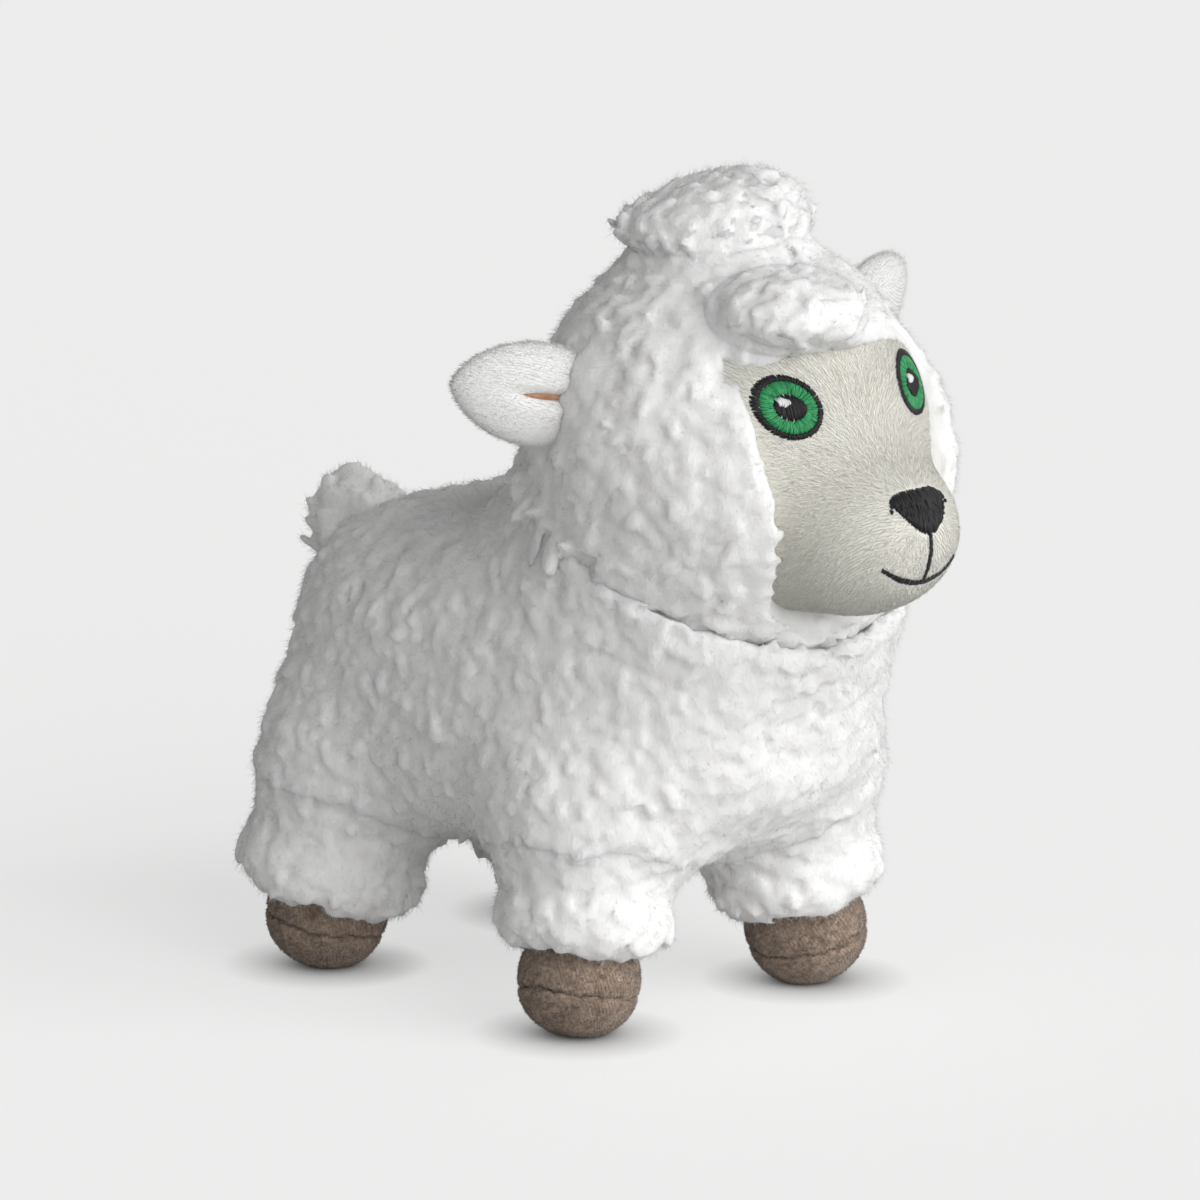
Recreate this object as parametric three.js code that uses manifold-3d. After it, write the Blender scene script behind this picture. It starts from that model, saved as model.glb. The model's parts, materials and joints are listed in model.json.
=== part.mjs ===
// A standing plush lamb, sewn from fleece, short plush and suede and stuffed with loose fibre.
// Millimetres and degrees, +Z up. The lamb looks along -Y and its left side is +X.
// The origin is on the ground, at the middle of the lamb's bounding box.
import * as THREE from "three";
import { mergeVertices } from "three/addons/utils/BufferGeometryUtils.js";
import Module from "manifold-3d";

const wasm = await Module();
wasm.setup();

// Sewing
const SEAM_GAP = 0.3; // sewn faces and stuffing lie this far apart

// Body: a plump cushion of three fleece panels
const BODY_WIDTH = 102;
const BODY_LENGTH = 146;
const BODY_HEIGHT = 84;
const BODY_FULLNESS = 2.6; // 2 is an ellipsoid, more is squarer
const BODY_FLEECE = 6;
const BELLY_WIDTH = 30;
const BELLY_SEAM_HEIGHT = 16; // above the lowest point of the body
const BODY_FORWARD = 5; // body's middle, ahead of the middle of the hips

// How the stuffing fills the body out from its plain form
const COLLAR_SWELL = 4.5; // round the hood
const COLLAR_REACH = 15;
const THIGH_SWELL = 5.5; // of the flank over each leg
const THIGH_REACH = 15;
const THIGH_OUT = 15; // fullest part of the thigh, outside the hip's centre
const THIGH_ABOVE = 8; // and above it
const BELLY_SAG = 2.5;
const CHEST_SWELL = 1;
const RUMP_SLOPE = 21; // takes 8 mm off the body halfway between the back and the rump

// Legs: fleece sleeves that swell to a ball at the hip and to a cuff over the hoof
const HIP_SPACING = 60;
const HIP_WHEELBASE = 78;
const HIP_BELOW_BODY = 32; // hip centres, below the body's middle
const HIP_DIAMETER = 42;
const HIP_OPENING = 18; // where the sleeve is sewn open to the body
const HIP_SHOULDER = 8; // angle where the hip's ball runs into the side of the sleeve
const LEG_LENGTH = 32; // hip centre to hoof centre
const LEG_WAIST_DIAMETER = 39;
const LEG_FLEECE = 6;
const LEG_SPLAY = 10; // outwards
const FRONT_LEG_LEAN = 4; // forwards
const HIND_LEG_LEAN = 9; // backwards
const LEG_SWING = 15; // each way
const CUFF_DIAMETER = 42;
const CUFF_EDGE = 26; // hip centre to the cuff's edge
const CUFF_ROUNDING = 4;

// Hooves: a suede band and a suede sole, sewn together round the middle
const HOOF_DIAMETER = 28;
const HOOF_HEIGHT = 26;
const HOOF_SUEDE = 1.2;
const HOOF_SEAM_DROP = 2.5; // seam, below the hoof's centre
const HOOF_TUCK = 3; // length of the band inside the cuff
const SOLE_FLAT = 0.5; // how far the stuffed sole is pressed flat by the ground

// Head: a round fleece hood with a window for the face
const HOOD_DIAMETER = 98;
const HEAD_AHEAD = 53; // ahead of the body's middle
const HEAD_ABOVE = 61; // above the body's middle
const HOOD_NECK_DIAMETER = 26;
const NECK_LEAN = 26; // of the neck's axis, forwards
const NECK_FILL_THICKNESS = 6;
const NECK_FILL_ANGLE = 26; // half angle of the neck wad, seen from the head's centre

// Face: short plush over a round skull and a blunt muzzle
const SKULL_WIDTH = 82;
const SKULL_LENGTH = 84;
const SKULL_HEIGHT = 80;
const MUZZLE_WIDTH = 46;
const MUZZLE_LENGTH = 54;
const MUZZLE_HEIGHT = 40;
const MUZZLE_AHEAD = 34; // muzzle's middle, ahead of the head's centre
const MUZZLE_BELOW = 15;
const FACE_PLUSH = 2;
const FACE_WIDTH = 68; // at the eyes
const FACE_CHIN_WIDTH = 52;
const FACE_HEIGHT = 72;
const FACE_WIDEST = 8; // where the window is widest, above its middle
const FACE_BELOW = 4; // window's middle, below the head's centre

// Embroidery on the face
const THREAD_HEIGHT = 0.8;
const EYE_DIAMETER = 14;
const EYE_RIM = 1.3;
const PUPIL_DIAMETER = 6.4;
const GLINT_DIAMETER = 2.2;
const GLINT_OFFSET = 1.3; // up and to the lamb's right, from the pupil's middle
const EYE_SPACING = 38;
const EYE_ABOVE = 15; // above the head's centre
const NOSE_WIDTH = 17;
const NOSE_HEIGHT = 10;
const NOSE_BELOW = 8; // nose's middle, below the head's centre
const MOUTH_WIDTH = 22;
const MOUTH_BELOW = 20; // where the smile hangs from, below the head's centre
const MOUTH_DEPTH = 4;
const MOUTH_THREAD = 1.6;

// Topknot and forelock: fleece tufts on the hood
const TOPKNOT_WIDTH = 46;
const TOPKNOT_LENGTH = 44;
const TOPKNOT_HEIGHT = 30;
const TOPKNOT_ABOVE = 4; // tuft's middle, above its root
const TOPKNOT_SEAT_BACK = 12; // of the root, behind the crown, seen from the head's centre
const TOPKNOT_ROOT_DIAMETER = 12;
const TOPKNOT_ROOT_LENGTH = 26;
const TOPKNOT_LEAN = 10; // each way
const FORELOCK_WIDTH = 40;
const FORELOCK_LENGTH = 34;
const FORELOCK_HEIGHT = 18;
const FORELOCK_RISE = 55; // of its middle, seen from the head's centre
const FORELOCK_ASIDE = 7; // of its middle, swept to the lamb's right
const FORELOCK_SUNK = 4; // its middle, inside the hood's surface

// Ears: flat leaves of two panels on a rolled root
const EAR_LENGTH = 33;
const EAR_WIDTH = 26;
const EAR_THICKNESS = 9;
const EAR_ROOT_DIAMETER = 9;
const EAR_ROOT_LENGTH = 14;
const EAR_SEAT_RISE = 16; // of the root, seen from the head's centre
const EAR_SEAT_BACK = 18;
const EAR_RISE = 8; // of the leaf
const EAR_SWEEP = 12; // of the leaf, backwards

// Tail: a short stuffed stub
const TAIL_LENGTH = 25; // root centre to tip
const TAIL_DIAMETER = 24;
const TAIL_ROOT_DIAMETER = 20;
const TAIL_ABOVE = 15; // root centre, above the body's middle
const TAIL_RISE = 24;
const TAIL_WAG = 25; // each way

// Root centres of ears, tail and topknot lie this far inside the surface that they are sewn to
const ROOT_DEPTH = 1.5;

// Facets
const BODY_AROUND = 28;
const BODY_ALONG = 16;
const HEAD_AROUND = 18;
const HEAD_ALONG = 10;
const ROUND = 14;
const ROUND_SMALL = 10;
const WINDOW_SEGMENTS = 6;

const deg = THREE.MathUtils.degToRad;
const vec = (x, y, z) => new THREE.Vector3(x, y, z);

// A closed geometry as a solid, with its faces turned outwards.
function solid(geometry) {
  const bare = geometry.clone();
  bare.deleteAttribute("normal");
  bare.deleteAttribute("uv");
  const merged = mergeVertices(bare, 1e-4);
  const corners = merged.index.array;
  const kept = [];
  for (let i = 0; i < corners.length; i += 3) {
    const [a, b, c] = corners.subarray(i, i + 3);
    if (a !== b && b !== c && c !== a) kept.push(a, b, c);
  }
  const positions = new Float32Array(merged.attributes.position.array);
  const make = (triVerts) =>
    new wasm.Manifold(new wasm.Mesh({ numProp: 3, vertProperties: positions, triVerts }));
  const made = make(new Uint32Array(kept));
  return made.volume() > 0 ? made : make(new Uint32Array(kept.reverse()));
}

// A solid as a geometry for a mesh.
function geometryOf(made) {
  const mesh = made.getMesh();
  const positions = new Float32Array(mesh.numVert * 3);
  for (let i = 0; i < mesh.numVert; i++) {
    positions.set(mesh.vertProperties.subarray(i * mesh.numProp, i * mesh.numProp + 3), i * 3);
  }
  const geometry = new THREE.BufferGeometry();
  geometry.setAttribute("position", new THREE.BufferAttribute(positions, 3));
  geometry.setIndex(new THREE.BufferAttribute(mesh.triVerts, 1));
  geometry.computeVertexNormals();
  return geometry;
}

function ellipsoid(width, length, height, centre, around = ROUND, along = ROUND_SMALL) {
  const geometry = new THREE.SphereGeometry(0.5, around, along);
  geometry.rotateX(Math.PI / 2);
  geometry.scale(width, length, height);
  return solid(geometry.translate(centre.x, centre.y, centre.z));
}

// Size of the hollow that a faceted round piece of a given size can turn in.
function hollow(size, around, along) {
  return (size + 2 * SEAM_GAP) / (Math.cos(Math.PI / around) * Math.cos(Math.PI / along / 2));
}

function ball(diameter, centre, around, along) {
  return ellipsoid(diameter, diameter, diameter, centre, around, along);
}

function block(low, high) {
  const size = high.clone().sub(low);
  const middle = low.clone().add(high).multiplyScalar(0.5);
  const geometry = new THREE.BoxGeometry(size.x, size.y, size.z);
  return solid(geometry.translate(middle.x, middle.y, middle.z));
}

// A profile of [radius, height] points turned round the Z axis.
function turned(points, segments = ROUND) {
  const profile = points.map(([radius, height]) => new THREE.Vector2(radius, height));
  return new THREE.LatheGeometry(profile, segments).rotateX(Math.PI / 2);
}

// Points of a circle's arc, from one angle to another, as [radius, height] about a centre on the axis.
function arc(radiusAcross, radiusAlong, centre, from, to, steps) {
  return Array.from({ length: steps + 1 }, (_, i) => {
    const angle = deg(from + ((to - from) * i) / steps);
    return [radiusAcross * Math.cos(angle), centre + radiusAlong * Math.sin(angle)];
  });
}

// A smooth run of [radius, height] points through a few given ones.
function smooth(points, steps) {
  const curve = new THREE.SplineCurve(points.map(([r, h]) => new THREE.Vector2(r, h)));
  return curve.getPoints(steps).map((p) => [p.x, p.y]);
}

// A flat outline, drawn in X and Z, as a prism along Y between two places.
function prism(shape, fromY, toY, curveSegments = 6) {
  const geometry = new THREE.ExtrudeGeometry(shape, {
    depth: toY - fromY,
    bevelEnabled: false,
    curveSegments,
  });
  geometry.rotateX(Math.PI / 2);
  return solid(geometry.translate(0, toY, 0));
}

const FLEECE = new THREE.MeshStandardMaterial({ color: 0xefeeea, roughness: 1, metalness: 0 });
const FACE = new THREE.MeshStandardMaterial({ color: 0xdcdad0, roughness: 0.95, metalness: 0 });
const EAR_OUTER = new THREE.MeshStandardMaterial({ color: 0xf2f0ec, roughness: 0.95, metalness: 0 });
const EAR_INNER = new THREE.MeshStandardMaterial({ color: 0xe6cbb6, roughness: 0.95, metalness: 0 });
const SUEDE = new THREE.MeshStandardMaterial({ color: 0x7d6a5f, roughness: 0.95, metalness: 0 });
const FILL = new THREE.MeshStandardMaterial({ color: 0xf6f6f4, roughness: 1, metalness: 0 });
const BLACK_THREAD = new THREE.MeshStandardMaterial({ color: 0x121212, roughness: 0.6, metalness: 0 });
const GREEN_THREAD = new THREE.MeshStandardMaterial({ color: 0x3fa867, roughness: 0.55, metalness: 0 });
const WHITE_THREAD = new THREE.MeshStandardMaterial({ color: 0xf7f7f7, roughness: 0.55, metalness: 0 });

function piece(name, made, material) {
  const mesh = new THREE.Mesh(geometryOf(made), material);
  mesh.name = name;
  return mesh;
}

// Legs. Each is turned round its own axis, which runs from the hip's centre down through the hoof.
const hoofRadius = HOOF_DIAMETER / 2;
const hoofHalfHeight = HOOF_HEIGHT / 2;
const hipRadius = HIP_DIAMETER / 2;
const cuffRadius = CUFF_DIAMETER / 2;
const hoofRim = CUFF_EDGE - HOOF_TUCK;

// Radius of the hoof's outside, less a margin, at a distance below the hip's centre.
function hoofRadiusAt(distance, margin = 0) {
  const share = (distance - LEG_LENGTH) / (hoofHalfHeight - margin);
  return (hoofRadius - margin) * Math.sqrt(1 - share * share);
}

// Angle on the hoof's arc, in degrees, at a distance below the hip's centre.
function hoofAngleAt(distance, margin = 0) {
  return THREE.MathUtils.radToDeg(Math.asin((LEG_LENGTH - distance) / (hoofHalfHeight - margin)));
}

const cuffInside = hoofRadiusAt(CUFF_EDGE) + SEAM_GAP;
const hipInside = hipRadius - LEG_FLEECE;

// Outside of the sleeve, from the hip's side down to the rounded edge of the cuff.
function sleeveSide(margin) {
  return [
    ...smooth(
      [
        [hipRadius + margin, 0],
        [LEG_WAIST_DIAMETER / 2 + margin, -CUFF_EDGE / 2],
        [cuffRadius + margin, CUFF_ROUNDING - CUFF_EDGE],
      ],
      4,
    ),
    [cuffRadius - CUFF_ROUNDING / 2 + margin, -CUFF_EDGE - margin],
  ];
}

function sleeve() {
  const openingOutside = THREE.MathUtils.radToDeg(Math.acos(HIP_OPENING / 2 / hipRadius));
  const openingInside = THREE.MathUtils.radToDeg(Math.acos(HIP_OPENING / 2 / hipInside));
  const outside = [...arc(hipRadius, hipRadius, 0, openingOutside, HIP_SHOULDER, 3), ...sleeveSide(0)];
  const inside = [[cuffInside, -CUFF_EDGE], ...arc(hipInside, hipInside, 0, 0, openingInside, 2)];
  return solid(turned([...outside, ...inside, outside[0]]));
}

function legStuffing() {
  const margin = HOOF_SUEDE + 3 * SEAM_GAP;
  const domed = arc(hipInside - 2 * SEAM_GAP, hipInside - 2 * SEAM_GAP, 0, 90, 0, 3);
  const shoulder = hoofRim - SEAM_GAP;
  const step = [
    [cuffInside - SEAM_GAP, -shoulder],
    [hoofRadiusAt(hoofRim, margin), -shoulder],
  ];
  const toe = arc(
    hoofRadius - margin, hoofHalfHeight - margin, -LEG_LENGTH, hoofAngleAt(hoofRim, margin), -90, 4);
  return solid(turned([...domed, ...step, ...toe], ROUND_SMALL));
}

// A hoof panel: the suede between two distances below the hip's centre.
function hoofBand(from, to) {
  const inner = HOOF_SUEDE;
  const outside = arc(hoofRadius, hoofHalfHeight, -LEG_LENGTH, hoofAngleAt(from), hoofAngleAt(to), 2);
  const inside = arc(
    hoofRadius - inner, hoofHalfHeight - inner, -LEG_LENGTH,
    hoofAngleAt(to, inner), hoofAngleAt(from, inner), 2);
  return solid(turned([...outside, ...inside, outside[0]]));
}

function hoofSole(from) {
  const inner = HOOF_SUEDE;
  const outside = arc(hoofRadius, hoofHalfHeight, -LEG_LENGTH, hoofAngleAt(from), -90, 3);
  const inside = arc(
    hoofRadius - inner, hoofHalfHeight - inner, -LEG_LENGTH, -90, hoofAngleAt(from, inner), 3);
  return solid(turned([...outside, ...inside, outside[0]]));
}

// Outside of a leg with the slack that it needs in the body.
function legRoom() {
  const steps = 5;
  const radius = hollow(HIP_DIAMETER, ROUND, (steps * 180) / (90 - HIP_SHOULDER)) / 2;
  const domed = arc(radius, radius, 0, 90, HIP_SHOULDER, steps);
  return turned([...domed, ...sleeveSide(radius - hipRadius), [0, -CUFF_EDGE - SEAM_GAP]]);
}

// Widens a leg's room to the front and the back, below the hip, by the leg's swing.
function widenedBySwing(geometry) {
  const spot = geometry.getAttribute("position");
  const spread = Math.tan(deg(LEG_SWING)) / hipRadius;
  for (let i = 0; i < spot.count; i++) {
    spot.setY(i, spot.getY(i) * (1 + Math.max(0, -spot.getZ(i)) * spread));
  }
  return geometry;
}

const legTilt = (lean) => Math.acos(Math.cos(deg(LEG_SPLAY)) * Math.cos(deg(lean)));

function legDirection(side, end) {
  const lean = deg(end > 0 ? HIND_LEG_LEAN : FRONT_LEG_LEAN);
  const splay = deg(LEG_SPLAY);
  return vec(
    side * Math.sin(splay) * Math.cos(lean),
    end * Math.sin(lean),
    -Math.cos(splay) * Math.cos(lean),
  );
}

// Height of a hip's centre over the ground, with the sole pressed flat.
function hipHeight(lean) {
  const tilt = legTilt(lean);
  const reach = Math.hypot(hoofRadius * Math.sin(tilt), hoofHalfHeight * Math.cos(tilt));
  return LEG_LENGTH * Math.cos(tilt) + reach - SOLE_FLAT;
}

const bodyMiddle = vec(0, -BODY_FORWARD, HIP_BELOW_BODY + hipHeight(FRONT_LEG_LEAN));
const headCentre = bodyMiddle.clone().add(vec(0, -HEAD_AHEAD, HEAD_ABOVE));

function leg(side, end) {
  const name = (end > 0 ? "hind" : "front") + (side > 0 ? "_left" : "_right");
  const lean = end > 0 ? HIND_LEG_LEAN : FRONT_LEG_LEAN;
  const group = new THREE.Group();
  group.name = name + "_hip";
  group.position.set((side * HIP_SPACING) / 2, (end * HIP_WHEELBASE) / 2, hipHeight(lean));
  group.quaternion.setFromUnitVectors(vec(0, 0, -1), legDirection(side, end));
  group.updateMatrixWorld(true);
  const reach = HOOF_HEIGHT + HOOF_DIAMETER;
  const underGround = new THREE.BoxGeometry(reach, reach, reach);
  const foot = group.position.clone().addScaledVector(legDirection(side, end), LEG_LENGTH);
  underGround.translate(foot.x, foot.y, -reach / 2);
  const groundInLeg = solid(underGround.applyMatrix4(group.matrixWorld.clone().invert()));
  const seam = LEG_LENGTH + HOOF_SEAM_DROP;
  group.add(
    piece(name + "_leg_fleece", sleeve(), FLEECE),
    piece(name + "_leg_stuffing", legStuffing(), FILL),
    piece(name + "_hoof_band", hoofBand(hoofRim, seam - SEAM_GAP / 2), SUEDE),
    piece(name + "_hoof_sole", hoofSole(seam + SEAM_GAP / 2).subtract(groundInLeg), SUEDE),
  );
  const tilted = legRoom().applyQuaternion(group.quaternion);
  group.userData.room = solid(widenedBySwing(tilted)).translate(group.position.toArray());
  return group;
}

const legs = [-1, 1].flatMap((end) => [-1, 1].map((side) => leg(side, end)));

// How far the body stands out at a point of its plain form: a collar round the hood, a thigh over each
// leg, a sagging belly, a full chest and a back that slopes down to the rump.
function bodySwell(point) {
  const way = point.clone().normalize();
  const place = point.clone().add(bodyMiddle);
  const fading = (distance, reach) => Math.exp(-((distance / reach) ** 2));
  const collar = COLLAR_SWELL * fading(place.distanceTo(headCentre) - hoodRadius, COLLAR_REACH);
  const thighs = legs.map(({ position }) => {
    const thigh = position.clone().add(vec(Math.sign(position.x) * THIGH_OUT, 0, THIGH_ABOVE));
    return THIGH_SWELL * fading(place.distanceTo(thigh), THIGH_REACH);
  });
  const sag = BELLY_SAG * Math.max(-way.z, 0) ** 2 + CHEST_SWELL * Math.max(-way.y, 0) ** 2;
  const slope = RUMP_SLOPE * Math.max(way.y, 0) * Math.max(way.z, 0) ** 2;
  return thighs.reduce((sum, thigh) => sum + thigh, collar + sag - slope);
}

const swollen = (plain, point) => point.addScaledVector(plain.clone().normalize(), bodySwell(plain));

// Body. A superellipsoid with its poles at the chest and the rump, less a margin all round, and swollen.
function bodyForm(margin) {
  const rings = [];
  const power = 2 / BODY_FULLNESS;
  const bulge = (value) => Math.sign(value) * Math.abs(value) ** power;
  for (let i = 1; i < BODY_ALONG; i++) {
    const along = -Math.PI / 2 + (Math.PI * i) / BODY_ALONG;
    const girth = bulge(Math.cos(along));
    rings.push(
      Array.from({ length: BODY_AROUND }, (_, j) => {
        const turn = (2 * Math.PI * j) / BODY_AROUND;
        const plain = (inset) =>
          vec(
            (BODY_WIDTH / 2 - inset) * girth * bulge(Math.cos(turn)),
            (BODY_LENGTH / 2 - inset) * bulge(Math.sin(along)),
            (BODY_HEIGHT / 2 - inset) * girth * bulge(Math.sin(turn)),
          );
        return swollen(plain(0), plain(margin));
      }),
    );
  }
  const [chest, rump] = [-1, 1].map((end) =>
    swollen(vec(0, (end * BODY_LENGTH) / 2, 0), vec(0, end * (BODY_LENGTH / 2 - margin), 0)));
  return solid(closedRings(rings, chest, rump)).translate(bodyMiddle.toArray());
}

// Rings of points joined into a tube, with a point to close each end.
function closedRings(rings, firstTip, lastTip) {
  const count = rings[0].length;
  const points = [firstTip, ...rings.flat(), lastTip];
  const last = points.length - 1;
  const corner = (ring, spoke) => 1 + ring * count + (spoke % count);
  const faces = [];
  for (let j = 0; j < count; j++) {
    faces.push(0, corner(0, j), corner(0, j + 1));
    faces.push(last, corner(rings.length - 1, j + 1), corner(rings.length - 1, j));
    for (let i = 0; i + 1 < rings.length; i++) {
      faces.push(corner(i, j), corner(i + 1, j), corner(i + 1, j + 1));
      faces.push(corner(i, j), corner(i + 1, j + 1), corner(i, j + 1));
    }
  }
  return new THREE.BufferGeometry().setFromPoints(points).setIndex(faces);
}

const hoodRadius = HOOD_DIAMETER / 2;
const hoodRoomDiameter = hollow(HOOD_DIAMETER, HEAD_AROUND, HEAD_ALONG);
const hoodRoom = ball(hoodRoomDiameter, headCentre, HEAD_AROUND, HEAD_ALONG);

// A geometry about the head's centre, with its Z axis laid along the neck.
const onNeck = (geometry) =>
  solid(geometry.rotateX(deg(NECK_LEAN)).translate(headCentre.x, headCentre.y, headCentre.z));

// A bowl under the head, between two radii and within a half angle of the neck's axis.
function neckBowl(innerRadius, outerRadius, halfAngle) {
  const outside = arc(outerRadius, outerRadius, 0, -90, halfAngle - 90, 4);
  const inside = arc(innerRadius, innerRadius, 0, halfAngle - 90, -90, 4);
  return onNeck(turned([...outside, ...inside, outside[0]], HEAD_AROUND));
}

const neckInside = hoodRadius + 2 * SEAM_GAP;
const neckOutside = neckInside + NECK_FILL_THICKNESS;
const neckFill = neckBowl(neckInside, neckOutside, NECK_FILL_ANGLE);
const neckGapAngle = THREE.MathUtils.radToDeg(SEAM_GAP / neckInside);
const neckRoom = neckBowl(
  hoodRadius - SEAM_GAP, neckOutside + SEAM_GAP, NECK_FILL_ANGLE + neckGapAngle);

// Place and direction of the tail's root, on the rump.
const tailSpan = Math.sqrt(
  (1 - (TAIL_ABOVE / (BODY_HEIGHT / 2)) ** BODY_FULLNESS) ** (2 / BODY_FULLNESS));
const tailRoot = bodyMiddle.clone().add(vec(0, (BODY_LENGTH / 2) * tailSpan - ROOT_DEPTH, TAIL_ABOVE));
const tailTurn = -deg(90 - TAIL_RISE);
const tailArcSteps = 4;

// The tail, grown by a margin all round, along Z from the centre of its root.
function tailForm(margin) {
  const rootRadius = TAIL_ROOT_DIAMETER / 2 + margin;
  const tipRadius = TAIL_DIAMETER / 2 + margin;
  const root = arc(rootRadius, rootRadius, 0, -90, 0, tailArcSteps);
  const tip = arc(tipRadius, tipRadius, TAIL_LENGTH - TAIL_DIAMETER / 2, 0, 90, tailArcSteps);
  return turned([...root, ...tip]);
}

const tailSlack = (hollow(TAIL_ROOT_DIAMETER, ROUND, 2 * tailArcSteps) - TAIL_ROOT_DIAMETER) / 2;
const tailRooms = [-TAIL_WAG, TAIL_WAG].map((wag) =>
  solid(tailForm(tailSlack).rotateY(deg(wag)).rotateX(tailTurn)).translate(tailRoot.toArray()),
);

function emptied(made) {
  const rooms = [...legs.map((part) => part.userData.room), hoodRoom, neckRoom, ...tailRooms];
  return rooms.reduce((left, room) => left.subtract(room), made);
}

function body() {
  const far = BODY_LENGTH + BODY_WIDTH + BODY_HEIGHT;
  const lowest = bodyMiddle.z - BODY_HEIGHT / 2;
  const cover = emptied(bodyForm(0).subtract(bodyForm(BODY_FLEECE)));
  const half = BELLY_WIDTH / 2;
  const bellySeam = lowest + BELLY_SEAM_HEIGHT;
  const gusset = block(vec(-half, -far, lowest - far), vec(half, far, bellySeam));
  const gussetRoom = block(
    vec(-half - SEAM_GAP, -far, lowest - far),
    vec(half + SEAM_GAP, far, bellySeam + SEAM_GAP),
  );
  const spine = SEAM_GAP / 2;
  const leftSide = block(vec(spine, -far, -far), vec(far, far, far));
  const rightSide = block(vec(-far, -far, -far), vec(-spine, far, far));
  const group = new THREE.Group();
  group.add(
    piece("body_left_fleece", cover.subtract(gussetRoom).intersect(leftSide), FLEECE),
    piece("body_right_fleece", cover.subtract(gussetRoom).intersect(rightSide), FLEECE),
    piece("belly_fleece", cover.intersect(gusset), FLEECE),
    piece("body_stuffing", emptied(bodyForm(BODY_FLEECE + SEAM_GAP)), FILL),
    piece("neck_stuffing", neckFill, FILL),
  );
  return group;
}

function tail() {
  const group = new THREE.Group();
  group.name = "tail_root";
  group.position.copy(tailRoot);
  group.rotation.x = tailTurn;
  group.add(piece("tail_fleece", solid(tailForm(0)), FLEECE));
  return group;
}

// Head. The skull and the muzzle, grown by a margin all round.
function headForm(margin) {
  const grown = 2 * margin;
  const muzzleMiddle = headCentre.clone().add(vec(0, -MUZZLE_AHEAD, -MUZZLE_BELOW));
  const skull = ellipsoid(
    SKULL_WIDTH + grown, SKULL_LENGTH + grown, SKULL_HEIGHT + grown,
    headCentre, HEAD_AROUND, HEAD_ALONG);
  const muzzle = ellipsoid(
    MUZZLE_WIDTH + grown, MUZZLE_LENGTH + grown, MUZZLE_HEIGHT + grown,
    muzzleMiddle, ROUND, ROUND_SMALL);
  return skull.add(muzzle);
}

// A prism from the middle of the head to beyond the muzzle, for an outline about a point of the face.
function faceCut(shape, across, above, curveSegments) {
  const front = headCentre.y - MUZZLE_AHEAD - MUZZLE_LENGTH;
  const made = prism(shape, front, headCentre.y, curveSegments);
  return made.translate([across, 0, headCentre.z + above]);
}

function oval(width, height) {
  return new THREE.Shape().absellipse(0, 0, width / 2, height / 2, 0, 2 * Math.PI, false);
}

// The window for the face, grown by a margin: half an ellipse above the eyes, tapering to a round chin.
function faceOutline(margin) {
  const wide = FACE_WIDTH / 2 + margin;
  const chin = FACE_CHIN_WIDTH / 2 + margin;
  const high = FACE_HEIGHT / 2 + margin;
  const cheek = (FACE_WIDEST - high) / 2;
  const shape = new THREE.Shape().absellipse(0, FACE_WIDEST, wide, high - FACE_WIDEST, 0, Math.PI, false);
  shape.bezierCurveTo(-wide, cheek, -chin, -high, 0, -high);
  shape.bezierCurveTo(chin, -high, wide, cheek, wide, FACE_WIDEST);
  return shape;
}

const earDirection = (side, rise, back) =>
  vec(
    side * Math.cos(deg(rise)) * Math.cos(deg(back)),
    Math.cos(deg(rise)) * Math.sin(deg(back)),
    Math.sin(deg(rise)),
  );

function rolledRoot(diameter, length) {
  return new THREE.CylinderGeometry(diameter / 2, diameter / 2, length, ROUND_SMALL);
}

// An ear's group: X runs out along the leaf, Z up its width, and Y through its thickness.
function ear(side) {
  const name = side > 0 ? "left_ear" : "right_ear";
  const group = new THREE.Group();
  group.name = name + "_root";
  const seat = earDirection(side, EAR_SEAT_RISE, EAR_SEAT_BACK);
  group.position.copy(seat.multiplyScalar(hoodRadius - ROOT_DEPTH).add(headCentre));
  const out = earDirection(side, EAR_RISE, EAR_SWEEP);
  const back = vec(0, 0, 1).cross(out).normalize();
  const up = out.clone().cross(back);
  group.quaternion.setFromRotationMatrix(new THREE.Matrix4().makeBasis(out, back, up));
  group.updateMatrixWorld(true);
  const leaf = ellipsoid(EAR_LENGTH, EAR_THICKNESS, EAR_WIDTH, vec(EAR_LENGTH / 2, 0, 0));
  const root = solid(rolledRoot(EAR_ROOT_DIAMETER, EAR_ROOT_LENGTH).rotateX(Math.PI / 2));
  const whole = leaf.add(root);
  const far = EAR_LENGTH + EAR_WIDTH;
  const rearHalf = block(vec(-far, SEAM_GAP / 2, -far), vec(far, far, far));
  const frontHalf = block(vec(-far, -far, -far), vec(far, -SEAM_GAP / 2, far));
  const [outer, inner] = side > 0 ? [rearHalf, frontHalf] : [frontHalf, rearHalf];
  group.add(
    piece(name + "_back", whole.intersect(outer), EAR_OUTER),
    piece(name + "_lining", whole.intersect(inner), EAR_INNER),
  );
  const room = rolledRoot(EAR_ROOT_DIAMETER + 2 * SEAM_GAP, EAR_ROOT_LENGTH + 2 * SEAM_GAP);
  group.userData.room = solid(room.rotateX(Math.PI / 2).applyMatrix4(group.matrixWorld));
  return group;
}

const ears = [-1, 1].map(ear);

// The topknot leans to and fro on a root rolled across the top of the hood.
const topknotSeat = deg(TOPKNOT_SEAT_BACK);
const topknotRoot = headCentre
  .clone()
  .addScaledVector(vec(0, Math.sin(topknotSeat), Math.cos(topknotSeat)), hoodRadius - ROOT_DEPTH);
const topknotRootRoom = solid(
  rolledRoot(TOPKNOT_ROOT_DIAMETER + 2 * SEAM_GAP, TOPKNOT_ROOT_LENGTH + 2 * SEAM_GAP)
    .rotateZ(Math.PI / 2)
    .translate(topknotRoot.x, topknotRoot.y, topknotRoot.z),
);

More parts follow.
